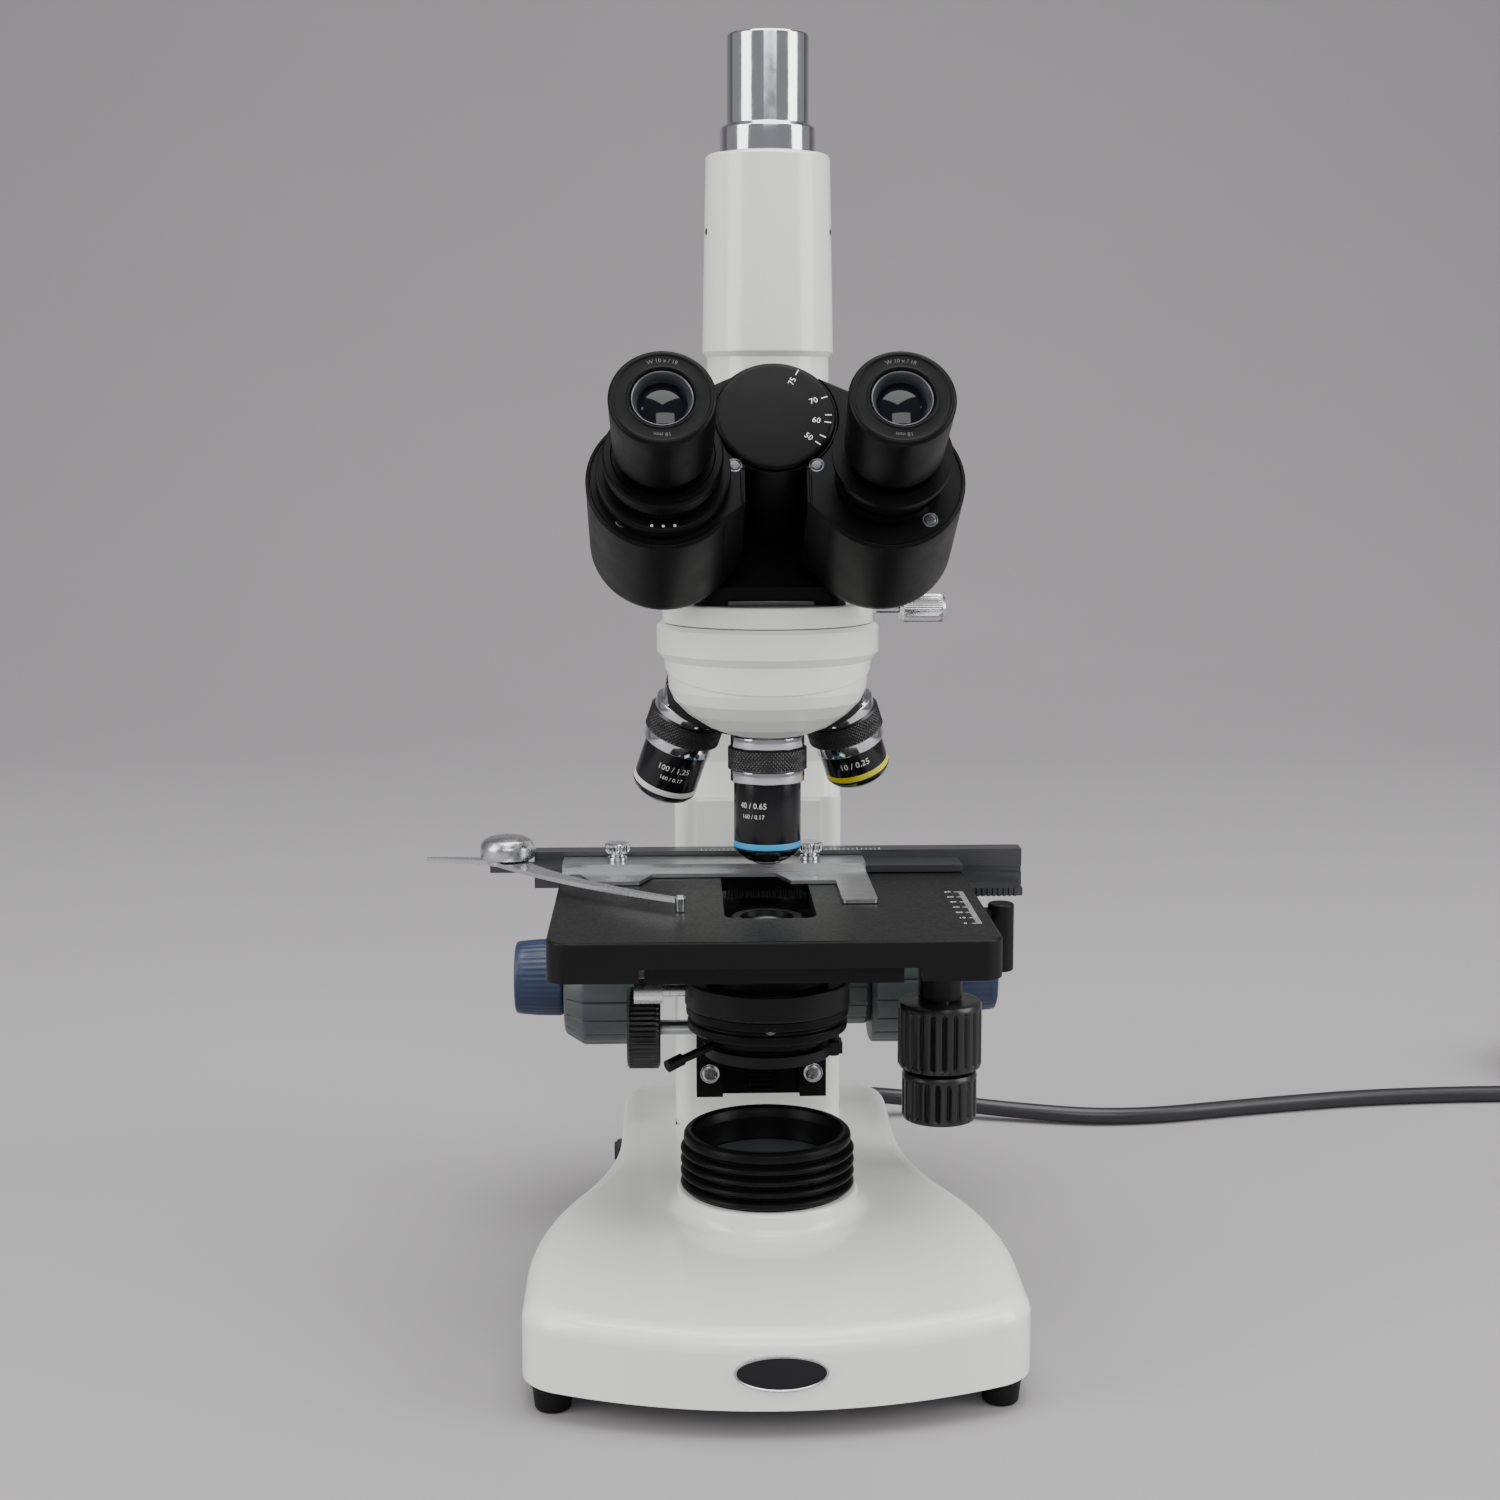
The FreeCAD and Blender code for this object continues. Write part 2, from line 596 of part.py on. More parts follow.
def focus_carriage():
    """Sliding carriage that carries the stage, with the focusing rack on its back."""
    block = box(-20.0, 20.0, CARRIAGE_FRONT_Y, GUIDE_Y - 0.3, CARRIAGE_BOTTOM, CARRIAGE_TOP)
    block = softened(block, 2.0, upright_edges(block, lambda x, y: y < CARRIAGE_FRONT_Y + 1))
    rear = FOCUS_Y - 9.6
    rack = box(-5.0, 5.0, GUIDE_Y - 1, rear, CARRIAGE_BOTTOM, CARRIAGE_TOP)
    teeth = []
    count = 19
    pitch = (CARRIAGE_TOP - CARRIAGE_BOTTOM) / count
    for i in range(count):
        z = CARRIAGE_BOTTOM + i * pitch
        teeth.append(extruded([(-4, rear - 0.2, z), (-4, rear + 1.2, z + 0.3 * pitch),
                               (-4, rear + 1.2, z + 0.6 * pitch), (-4, rear - 0.2, z + 0.9 * pitch)],
                              Vector(8, 0, 0)))
    return joined([block, rack] + teeth)


# ---------------------------------------------------------------- focus drive

def ribbed_knob(radius, width, bevel, bore, flutes, depth):
    """Knob drawn along +Z from 0 to width, with shallow lengthwise flutes."""
    body = turned([(bore, 0), (radius, 0), (radius, width - bevel), (radius - bevel * 0.6, width), (bore, width)])
    cuts = []
    for i in range(flutes):
        angle = 2 * math.pi * i / flutes
        x = (radius + 1.2) * math.cos(angle)
        y = (radius + 1.2) * math.sin(angle)
        cuts.append(disc(1.2 + depth, -1, width + 1, x, y))
    return body.cut(cuts)


def mirrored_x(shape):
    """The same shape on the other side of the X = 0 plane."""
    return shape.mirror(ORIGIN, X)


def coarse_knob_right():
    """Right coarse knob fixed on the hollow pinion shaft."""
    knob = ribbed_knob(COARSE_R, COARSE_OUT - COARSE_IN, 7.0, COARSE_SHAFT_R, 24, 0.5)
    shaft = tube(COARSE_SHAFT_R, FINE_SHAFT_R + 0.1, -2 * COARSE_IN, COARSE_OUT - COARSE_IN - 4)
    pinion = placed(toothed(8.1, -4, 4, 16, 1.6), Placement(Vector(0, 0, -COARSE_IN), Rotation()))
    pinion = pinion.cut(disc(COARSE_SHAFT_R - 0.5, -COARSE_IN - 10, -COARSE_IN + 10))
    return across(joined([knob, shaft, pinion]), COARSE_IN, FOCUS_Y, FOCUS_Z)


def coarse_knob_left():
    """Left coarse knob, keyed to the far end of the hollow shaft."""
    knob = ribbed_knob(COARSE_R, COARSE_OUT - COARSE_IN, 7.0, FINE_SHAFT_R + 0.1, 24, 0.5)
    return mirrored_x(across(knob, COARSE_IN, FOCUS_Y, FOCUS_Z))


def fine_cap():
    """Fine-focus knob drawn along +Z, slightly waisted with a flat end."""
    width = FINE_OUT - COARSE_OUT - 0.5
    cap = turned([(FINE_SHAFT_R, 0), (FINE_R - 1.0, 0), (FINE_R, 1.0), (FINE_R - 0.9, width - 2.0),
                  (FINE_R - 2.6, width), (FINE_SHAFT_R, width)])
    cuts = []
    for i in range(28):
        angle = 2 * math.pi * i / 28
        cuts.append(disc(0.75, -1, width - 2.5, (FINE_R + 0.3) * math.cos(angle), (FINE_R + 0.3) * math.sin(angle)))
    return cap.cut(cuts)


def fine_knob_right():
    """Right fine knob with the solid shaft that runs through the hollow one."""
    shaft = disc(FINE_SHAFT_R, -2 * COARSE_OUT - 8, FINE_OUT - COARSE_OUT - 1)
    return across(joined([fine_cap(), shaft]), COARSE_OUT + 0.5, FOCUS_Y, FOCUS_Z)


def fine_knob_left():
    """Left fine knob, pressed on the end of the solid shaft."""
    return mirrored_x(across(fine_cap(), COARSE_OUT + 0.5, FOCUS_Y, FOCUS_Z))


def tension_collar():
    """Tension ring between the arm and the right coarse knob."""
    ring = ribbed_knob(TENSION_R, COARSE_IN - ARM_HALF - 0.8, 1.5, COARSE_SHAFT_R + 0.3, 16, 0.4)
    return across(ring, ARM_HALF + 0.4, FOCUS_Y, FOCUS_Z)


# ---------------------------------------------------------------- stage

def stage_lower_plate():
    """Fixed lower layer of the stage with its neck, side guides and the lengthwise rack."""
    plate = box(-LOWER_HALF, LOWER_HALF, -52.0, 48.0, LOWER_BOTTOM, LOWER_TOP)
    neck = box(-18.0, 18.0, 40.0, CARRIAGE_FRONT_Y, 110.0, LOWER_TOP)
    guides = [box(x - 2.5, x + 2.5, -45.0, 18.0, LOWER_TOP - 0.5, STAGE_TOP - STAGE_T - 0.3) for x in (-34.0, 34.0)]
    rack_edge = DRIVE_X - Y_PINION_R - TEETH_GAP
    rack = box(30.0, rack_edge - 1.0, 6.0, 53.0, 113.2, LOWER_BOTTOM + 0.5)
    teeth = []
    for i in range(24):
        y = 6.4 + i * 1.95
        teeth.append(extruded([(rack_edge - 1.2, y, 113.2), (rack_edge, y + 0.4, 113.2),
                               (rack_edge, y + 0.9, 113.2), (rack_edge - 1.2, y + 1.3, 113.2)], Vector(0, 0, 4)))
    body = joined([plate, neck, rack] + guides + teeth)
    hole = box(-OPENING_HALF - 10, OPENING_HALF + 10, -29.0, 29.0, 100, 130)
    hole = softened(hole, 8.0, upright_edges(hole, lambda x, y: True))
    return body.cut(hole)


def stage_top_plate():
    """Black upper stage plate with a skirt on three sides and the light opening."""
    block = box(-STAGE_HALF, STAGE_HALF, STAGE_FRONT_Y, STAGE_REAR_Y, STAGE_SKIRT_BOTTOM, STAGE_TOP)
    block = softened(block, STAGE_CORNER_R, upright_edges(block, lambda x, y: y < 0))
    block = softened(block, 2.0, upright_edges(block, lambda x, y: y > 0 and abs(x) > STAGE_HALF - 1))
    block = softened(block, 0.8, edges_in(block, z=(STAGE_TOP - 0.01, STAGE_TOP + 0.01)))
    inner = box(-STAGE_HALF + 3.5, STAGE_HALF - 3.5, STAGE_FRONT_Y + 3.5, STAGE_REAR_Y + 5,
                STAGE_SKIRT_BOTTOM - 1, STAGE_TOP - STAGE_T)
    notch = box(-LOWER_HALF - 1.5, LOWER_HALF + 4.5, STAGE_FRONT_Y - 1, STAGE_FRONT_Y + 5,
                STAGE_SKIRT_BOTTOM - 1, STAGE_SKIRT_BOTTOM + 4.0)
    hole = box(-OPENING_HALF, OPENING_HALF, OPENING_FRONT_Y, OPENING_REAR_Y, 100, 140)
    hole = softened(hole, 5.0, upright_edges(hole, lambda x, y: True))
    rack_notch = box(STAGE_HALF - 5, STAGE_HALF + 1, DRIVE_Y + 3.5, STAGE_REAR_Y + 1, 123.4, STAGE_TOP - STAGE_T)
    return block.cut([inner, notch, hole, rack_notch])


def stage_side_post():
    """Round guide post on a lug at the right edge of the stage."""
    post = disc(4.2, 106.0, 128.0, 75.5, 12.0)
    post = softened(post, 0.8, [e for e in post.Edges if e.BoundBox.ZLength < 0.01])
    lug = box(STAGE_HALF, 75.5, 9.5, 14.5, STAGE_SKIRT_BOTTOM + 0.4, STAGE_SKIRT_BOTTOM + 5.4)
    return joined([lug, post])


def x_bar():
    """Cross-travel bar behind the stage with its shelf and the rack underneath."""
    bar = box(X_BAR_LEFT, X_BAR_RIGHT, X_BAR_FRONT_Y, X_BAR_REAR_Y, 125.7, 138.0)
    groove = box(STAGE_HALF + 2, X_BAR_RIGHT + 1, X_BAR_FRONT_Y - 1, X_BAR_FRONT_Y + 1.2, 130.0, 132.2)
    shelf = box(X_BAR_LEFT, STAGE_HALF, 38.0, X_BAR_FRONT_Y, 133.0, 135.2)
    rack_front = DRIVE_Y + X_PINION_R + TEETH_GAP
    rack = box(-12.0, X_BAR_RIGHT - 1, rack_front + 1.0, X_BAR_FRONT_Y + 2, 124.0, 126.7)
    lug = box(X_BAR_LEFT - 14.0, X_BAR_LEFT + 4, 41.0, 49.0, 133.0, 135.2)
    teeth = []
    for i in range(54):
        x = -11.6 + i * 1.8
        teeth.append(extruded([(x, rack_front + 1.2, 124.0), (x + 0.4, rack_front, 124.0),
                               (x + 0.9, rack_front, 124.0), (x + 1.3, rack_front + 1.2, 124.0)],
                              Vector(0, 0, 2.7)))
    return joined([bar.cut(groove), shelf, rack, lug] + teeth)


def slide_holder():
    """Pressed sheet slide holder: rear strip, two screw tabs and the fixed right jaw."""
    low = STAGE_TOP + 0.3
    high = 135.2
    strip = box(-66.0, 34.0, 37.0, 50.0, high, high + HOLDER_T)
    riser = box(-66.0, 34.0, 36.6, 38.0, low, high + HOLDER_T)
    front = box(-66.0, 34.0, 32.0, 37.0, low, low + HOLDER_T)
    jaw = box(23.0, 34.0, -10.0, 33.0, low, low + HOLDER_T)
    jaw = softened(jaw, 1.5, upright_edges(jaw, lambda x, y: y < -9))
    tabs = []
    for x in (-48.0, 16.0):
        tabs.append(extruded([(x - 12.5, 34, low), (x - 7.5, 20, low), (x + 7.5, 20, low), (x + 12.5, 34, low)],
                             Vector(0, 0, HOLDER_T)))
    return joined([strip, riser, front, jaw] + tabs)


def holder_screws():
    """Two knurled thumb screws that clamp the holder to the cross bar."""
    screws = []
    for x in (-48.0, 16.0):
        screw = turned([(0, 135.2 + HOLDER_T), (3.0, 135.2 + HOLDER_T), (3.0, 137.6), (4.4, 138.0),
                        (4.4, 141.6), (3.6, 142.4), (0, 142.4)])
        screws.append(placed(screw, Placement(Vector(x, 44.0, 0), Rotation())))
    return Part.makeCompound(screws)


def spring_arm():
    """Curved spring finger that presses the slide against the fixed jaw, with its thumb tail."""
    low = 135.5
    eye = disc(7.0, low, low + 1.4, SPRING_X, SPRING_Y)
    outer = Part.Arc(Vector(SPRING_X - 4, SPRING_Y - 5, low), Vector(-56, 2, low), Vector(-27.5, -20.5, low))
    inner = Part.Arc(Vector(-27.0, -18.0, low), Vector(-54, 6.5, low), Vector(SPRING_X + 5.5, SPRING_Y - 3, low))
    outer_edge = outer.toShape()
    inner_edge = inner.toShape()
    ends = [Part.makeLine(outer_edge.Vertexes[-1].Point, inner_edge.Vertexes[0].Point),
            Part.makeLine(inner_edge.Vertexes[-1].Point, outer_edge.Vertexes[0].Point)]
    wire = Part.Wire([outer_edge, ends[0], inner_edge, ends[1]])
    finger = Part.Face(wire).extrude(Vector(0, 0, 1.4))
    bead = turned([(0, STAGE_TOP + 0.3), (1.5, STAGE_TOP + 0.3), (1.7, 136.9), (1.1, 137.7), (0, 137.7)])
    bead = placed(bead, Placement(Vector(-27.4, -19.2, 0), Rotation()))
    tail = extruded([(SPRING_X - 4, SPRING_Y + 3, low), (SPRING_X - 27, SPRING_Y + 4.5, low),
                     (SPRING_X - 27, SPRING_Y + 2.5, low), (SPRING_X - 4, SPRING_Y - 3, low)], Vector(0, 0, 1.4))
    arm = joined([eye, finger, bead, tail])
    return arm.cut(disc(2.26, 130, 140, SPRING_X, SPRING_Y))


def spring_knob():
    """Domed knob and pivot stud of the spring finger."""
    knob = turned([(0, 135.2), (2.2, 135.2), (2.2, 137.2), (8.0, 137.2), (9.0, 138.4), (9.0, 142.0),
                   (7.6, 144.2), (0, 145.0)])
    return placed(knob, Placement(Vector(SPRING_X, SPRING_Y, 0), Rotation()))


def drive_sleeve():
    """Bearing bracket and sleeve of the coaxial stage drive, hanging from the stage plate."""
    block = box(DRIVE_X - 4.2, DRIVE_X + 4.0, DRIVE_Y - 7.0, DRIVE_Y + 7.0, 105.0, STAGE_TOP - STAGE_T)
    sleeve = disc(DRIVE_SLEEVE_R, 91.2, 106.5, DRIVE_X, DRIVE_Y)
    bore = disc(4.1, 80, 130, DRIVE_X, DRIVE_Y)
    pinion_room = disc(Y_PINION_R + 0.5, 111.5, 119.5, DRIVE_X, DRIVE_Y)
    upper_room = box(DRIVE_X - 5, DRIVE_X + 7, DRIVE_Y - X_PINION_R - 0.4, DRIVE_Y + 8, 122.5, STAGE_TOP)
    lower_room = box(DRIVE_X - 5, DRIVE_X, DRIVE_Y - 8, DRIVE_Y + 8, 112.0, 119.5)
    return joined([block, sleeve]).cut([bore, pinion_room, upper_room, lower_room])


def fluted_grip(radius, z0, z1, bore, flutes):
    """Moulded grip with broad rounded flutes and rounded rims."""
    body = turned([(bore, z0), (radius - 1.5, z0), (radius, z0 + 1.5), (radius, z1 - 1.5),
                   (radius - 1.5, z1), (bore, z1)])
    cuts = []
    for i in range(flutes):
        angle = 2 * math.pi * (i + 0.5) / flutes
        cuts.append(disc(1.3, z0 + 2.6, z1 - 2.6, (radius + 0.4) * math.cos(angle), (radius + 0.4) * math.sin(angle)))
    return body.cut(cuts)


def at_drive(shape):
    """Move a shape drawn round the Z axis to the stage-drive axis."""
    return placed(shape, Placement(Vector(DRIVE_X, DRIVE_Y, 0), Rotation()))


def y_drive_knob():
    """Upper knob on the hollow shaft whose pinion moves the stage to and fro."""
    grip = fluted_grip(14.0, 67.5, 90.4, 2.7, 22)
    shaft = tube(4.0, 2.6, 67.5, 119.0)
    pinion = toothed(Y_PINION_R, 113.4, 118.0, 14, 1.1).cut(disc(3.6, 110, 120))
    return at_drive(joined([grip, shaft, pinion]))


def x_drive_knob():
    """Lower knob on the inner shaft whose pinion moves the cross bar."""
    grip = fluted_grip(12.5, 49.8, 66.6, 0.0, 20)
    shaft = disc(2.5, 60, 126.4)
    pinion = toothed(X_PINION_R, 123.8, 126.4, 11, 1.0)
    return at_drive(joined([grip, shaft, pinion]))


# ---------------------------------------------------------------- condenser

def condenser_rail():
    """Black channel rail under the stage neck with its rack and two bright screws."""
    plate = box(-RAIL_HALF, RAIL_HALF, RAIL_FRONT_Y + 4.0, CARRIAGE_FRONT_Y, 54.0, 110.0)
    flanges = [box(x0, x1, RAIL_FRONT_Y, RAIL_FRONT_Y + 4.5, 54.0, 109.0)
               for x0, x1 in ((-RAIL_HALF, -13.0), (13.0, RAIL_HALF))]
    rack_front = CONDENSER_KNOB_Y + CONDENSER_PINION_R + TEETH_GAP
    rack = box(-4.0, 4.0, rack_front + 1.0, RAIL_FRONT_Y + 5.0, 56.0, 98.0)
    teeth = []
    for i in range(24):
        z = 56.4 + i * 1.7
        teeth.append(extruded([(-4, rack_front + 1.2, z), (-4, rack_front, z + 0.4), (-4, rack_front, z + 0.8),
                               (-4, rack_front + 1.2, z + 1.2)], Vector(8, 0, 0)))
    screws = []
    for x in (-17.4, 17.4):
        screws.append(rod(3.0, (x, RAIL_FRONT_Y - 1.6, 62.5), (x, RAIL_FRONT_Y + 1, 62.5)))
    return joined([plate, rack] + flanges + teeth + screws)


def condenser_carrier():
    """Condenser carrier: two slide strips in the rail, a pinion bearing, a neck and the holder ring."""
    strips = [box(x, x + 7.4, RAIL_FRONT_Y + 0.4, RAIL_FRONT_Y + 3.7, 73.0, 108.0) for x in (-12.6, 5.2)]
    bearing = box(-12.4, -5.4, CONDENSER_KNOB_Y - 5.5, RAIL_FRONT_Y + 1.0, 74.0, 86.0)
    bearing = bearing.cut(rod(CONDENSER_SHAFT_R + 0.06, (-20, CONDENSER_KNOB_Y, CONDENSER_KNOB_Z),
                              (0, CONDENSER_KNOB_Y, CONDENSER_KNOB_Z)))
    neck = box(-12.0, 12.0, 22.0, RAIL_FRONT_Y + 1.0, CARRIER_Z, 107.0)
    rack_channel = box(-4.8, 4.8, CONDENSER_KNOB_Y + CONDENSER_PINION_R - 0.3, RAIL_FRONT_Y + 2, 90.0, 110.0)
    neck = neck.cut(rack_channel)
    ring = tube(CONDENSER_R, CARRIER_BORE, CARRIER_Z, 107.5)
    ring = softened(ring, 0.8, [e for e in ring.Edges if e.BoundBox.ZLength < 0.01 and e.BoundBox.XLength > 50])
    clamp_hole = rod(CLAMP_NECK_R + 0.06, (-30.0, 0, CLAMP_Z), (-18.0, 0, CLAMP_Z))
    return joined(strips + [bearing, neck, ring]).cut([disc(CARRIER_BORE, 90, 120), clamp_hole])


def condenser_knob():
    """Height knob of the condenser with its cross shaft and pinion."""
    grip = ribbed_knob(CONDENSER_KNOB_R, 11.0, 1.5, 2.0, 30, 0.5)
    shaft = disc(CONDENSER_SHAFT_R, -CONDENSER_KNOB_IN - 4.0, 10.0)
    pinion = toothed(CONDENSER_PINION_R, -CONDENSER_KNOB_IN - 3.5, -CONDENSER_KNOB_IN + 3.5, 12, 1.1)
    knob = joined([grip, shaft, pinion])
    return mirrored_x(across(knob, CONDENSER_KNOB_IN, CONDENSER_KNOB_Y, CONDENSER_KNOB_Z))


def condenser_body():
    """Condenser barrel with its stepped rings and the conical top that holds the front lens."""
    barrel = turned([
        (CONDENSER_BORE, CONDENSER_BOTTOM), (24.6, CONDENSER_BOTTOM), (25.2, CONDENSER_BOTTOM + 0.8),
        (25.2, 94.6), (24.2, 95.0), (24.2, 95.6), (25.6, 96.0), (25.6, CARRIER_Z), (CARRIER_BORE, CARRIER_Z),
        (CARRIER_BORE, 110.0), (18.5, 112.0), (13.0, 121.0), (11.6, 121.8), (11.6, CONDENSER_TIP_Z - 0.6),
        (11.0, CONDENSER_TIP_Z), (8.4, CONDENSER_TIP_Z), (7.4, 124.0), (7.4, 121.5), (6.6, 121.5),
        (6.6, 119.0), (CONDENSER_BORE, 108.0)])
    pin_bore = disc(FILTER_PIN_R + 0.06, CONDENSER_BOTTOM - 1, CONDENSER_BOTTOM + 2.7, FILTER_PIN_X, 0.0)
    return barrel.cut(pin_bore)


def condenser_lens():
    """Front lens of the condenser, seated in the top of the barrel."""
    return turned([(0, 121.5), (7.3, 121.5), (7.3, 124.4), (5.6, 125.8), (2.8, 126.5), (0, 126.8)])


def iris_lever():
    """Iris ring that turns in the mouth of the condenser, with its slim handle."""
    ring = tube(IRIS_R, 12.0, CONDENSER_BOTTOM - 3.0, CONDENSER_BOTTOM - 0.3)
    spigot = tube(CONDENSER_BORE - 0.06, 12.0, CONDENSER_BOTTOM - 1.0, CONDENSER_BOTTOM + 4.0)
    z = CONDENSER_BOTTOM - 1.7
    handle = rod(1.3, (-14.0, -9.5, z), (-30.5, -20.5, z - 4.5))
    tip = rod(1.9, (-27.0, -18.2, z - 3.4), (-31.5, -21.2, z - 4.8))
    return joined([ring, spigot, handle, tip])


def filter_holder():
    """Swing-out filter ring on its own pivot pin below the condenser."""
    ring = tube(FILTER_R, FILTER_BORE, FILTER_BOTTOM, FILTER_TOP)
    ear = box(FILTER_BORE + 0.3, FILTER_PIN_X + 2.6, -3.4, 3.4, FILTER_BOTTOM, FILTER_TOP)
    pin = disc(FILTER_PIN_R, FILTER_BOTTOM - 1.2, CONDENSER_BOTTOM + 2.4, FILTER_PIN_X, 0.0)
    return joined([ring, ear, pin])


def condenser_clamp_screw():
    """Knurled clamp screw that holds the condenser in its ring."""
    head = rod(4.0, (-42.0, 0, CLAMP_Z), (-33.0, 0, CLAMP_Z))
    neck = rod(CLAMP_NECK_R, (-34.0, 0, CLAMP_Z), (-20.2, 0, CLAMP_Z))
    return joined([head, neck])


# ---------------------------------------------------------------- nosepiece

def nose_placement():
    """Frame of the revolving nosepiece: origin at the apex, local -Z down its axis."""
    return Placement(Vector(0, 0, APEX_Z), Rotation(X, NOSE_TILT))


def swept_room():
    """Room that the turret and its objectives sweep, drawn round the nosepiece axis."""
    top = -TURRET_TOP_H + 0.4
    room = turned([(0, top), (37.0, top), (37.0, -72.0), (42.0, -73.0), (56.0, -112.0), (0, -130.0)])
    return placed(room, nose_placement())


def nosepiece_cover():
    """White bowl under the nose of the arm, cut away behind for the turret, with its stud."""
    bowl = turned([(0, 184.6), (12.0, 184.8), (16.0, 185.6), (20.5, 188.0), (25.2, 191.8), (29.0, 195.8),
                   (30.6, 199.4), (NOSE_LOW_R - 0.3, 202.0), (NOSE_LOW_R - 0.3, 215.0), (0, 215.0)])
    front_half = box(-40, 40, -40, 12.0, 180, 215)
    above_seam = extruded([(-60, -60, 194.6), (-60, 5, 207.6), (-60, 60, 207.6), (-60, 60, 250),
                           (-60, -60, 250)], Vector(120, 0, 0))
    rear = placed(disc(30.5, -TURRET_TOP_H, -56.0), nose_placement())
    shell = joined([bowl.common(front_half), rear]).cut(above_seam)
    shell = shell.cut([swept_room(), disc(LIGHT_PATH_R, 180, 220)])
    stud = placed(disc(4.0, -76.0, -64.0), nose_placement())
    return joined([shell, stud])


def objective_place(index):
    """Placement of one objective: local +Z runs out of its seat towards the specimen."""
    azimuth = math.radians(-90 + 90 * index)
    tilt = math.radians(NOSE_TILT)
    direction = Vector(math.sin(tilt) * math.cos(azimuth), math.sin(tilt) * math.sin(azimuth), -math.cos(tilt))
    seat = Placement(direction * SEAT_A, Rotation(Z, direction))
    return nose_placement().multiply(seat)


def nosepiece_turret():
    """Turret: a shallow cone with four threaded seats, running on the stud."""
    body = turned([(4.05, -TURRET_TOP_H), (TURRET_R, -TURRET_TOP_H), (TURRET_R, -71.2), (10.0, -78.6), (4.05, -78.6)])
    body = placed(body, nose_placement())
    for index in range(4):
        bore = placed(disc(10.15, -12.0, 3.0), objective_place(index))
        flat = placed(disc(12.6, 0.0, 6.0), objective_place(index))
        body = body.cut([bore, flat])
    return body


def objective(length):
    """Objective drawn along +Z from its seat, with the thread behind it."""
    body = length - 5.0
    return turned([(6.0, -4.0), (10.1, -4.0), (10.1, 0), (11.5, 0), (11.5, 3.4), (12.35, 3.7), (12.35, 10.4),
                   (11.6, 10.7), (11.6, 14.2), (10.5, 14.5), (10.5, body), (9.6, body + 1.6), (6.6, length - 1.4),
                   (4.2, length - 1.0), (3.8, length), (2.6, length), (2.0, length - 1.2), (0, length - 1.2),
                   (0, 6.0), (6.0, 6.0)])


# ---------------------------------------------------------------- viewing head

def head_placement():
    """Frame of the inclined head: local +Z along the eyepiece axes, +Y up the front faces."""
    return Placement(Vector(0, HUB_FACE_Y, HUB_FACE_Z), Rotation(X, HEAD_PITCH))


def head_ring():
    """Black dovetail flange that turns in the socket of the arm, drilled for the pull rod."""
    seat = HEAD_SEAT_Z + 0.3
    dovetail = turned([(14.0, 212.4), (23.6, 212.4), (23.6, 215.7), (22.3, seat), (14.0, seat)])
    flange = tube(32.6, 14.0, seat, HEAD_FLANGE_TOP)
    flange = softened(flange, 0.8, [e for e in flange.Edges if e.BoundBox.ZMin > HEAD_FLANGE_TOP - 0.1
                                    and e.BoundBox.XLength > 60])
    return joined([dovetail, flange]).cut(rod(1.66, (0, 0, SELECTOR_Z), (40, 0, SELECTOR_Z)))


def room_for_wings():
    """Space that the two prism wings sweep in front of the housing, up to just above the hub."""
    return placed(box(-60, 60, -80, HUB_RING_R + WING_ROOM, -WING_DEPTH - 0.4, 60), head_placement())


def head_housing():
    """Fixed prism housing behind the wings, with the spindle that they turn on."""
    block = box(-23.0, 23.0, -24.0, 31.0, HEAD_FLANGE_TOP, NECK_BOTTOM)
    block = softened(block, 6.0, upright_edges(block, lambda x, y: True))
    hub = placed(disc(HUB_RING_R - 0.6, -WING_DEPTH - 20, -WING_DEPTH - 0.4), head_placement())
    body = joined([block, hub]).cut(room_for_wings())
    spindle = placed(disc(HUB_BORE_R - 0.05, -WING_DEPTH - 2, -1.0), head_placement())
    prism_room = box(-13, 13, -9, 17, 235, 268)
    light_path = disc(LIGHT_PATH_R, 220, 236)
    upper_path = disc(NECK_BORE_R, 267, 310)
    return joined([body, spindle]).cut([prism_room, light_path, upper_path])


def wing_outline(side):
    """Full-depth blank of one prism wing in the head frame, side -1 left and +1 right."""
    depth = WING_DEPTH
    tube_barrel = disc(WING_R, -depth, 0, side * TUBE_X, TUBE_Q)
    tube_barrel = softened(tube_barrel, WING_REAR_R, edges_in(tube_barrel, z=(-depth - 0.1, -depth + 0.1)))
    hub_barrel = disc(HUB_RING_R, -depth, 0)
    reach = math.hypot(TUBE_X, TUBE_Q)
    lean = math.atan2(-TUBE_Q, TUBE_X) + math.asin((WING_R - HUB_RING_R) / reach)
    outward = (math.cos(math.pi / 2 + lean), math.sin(math.pi / 2 + lean))
    outward = (-abs(outward[0]), abs(outward[1]))
    hub_point = (outward[0] * HUB_RING_R, outward[1] * HUB_RING_R)
    tube_point = (-TUBE_X + outward[0] * WING_R, TUBE_Q + outward[1] * WING_R)
    corner = (-8.8, -28.0)
    low_point = (-TUBE_X + 0.6 * WING_R, TUBE_Q - 0.8 * WING_R)
    points = [hub_point, tube_point, (-TUBE_X, TUBE_Q), low_point, corner, (-8.8, -12.0), (0, 0)]
    link = extruded([(-side * x, y, -depth) for x, y in points], Vector(0, 0, depth))
    low_rear = extruded([(-70, -29, -depth), (-70, -60, -depth), (-70, -60, -depth + 27.6)], Vector(140, 0, 0))
    inner = disc(HUB_RING_R + 2.0, -depth, 0)
    outer_side = box(-80, 80, -80, 80, -depth - 1, -depth + WING_REAR_R).cut(inner)
    link = link.cut([low_rear, outer_side.cut(disc(WING_R - WING_REAR_R, -depth - 1, 0, side * TUBE_X, TUBE_Q))])
    return joined([tube_barrel, hub_barrel, link])


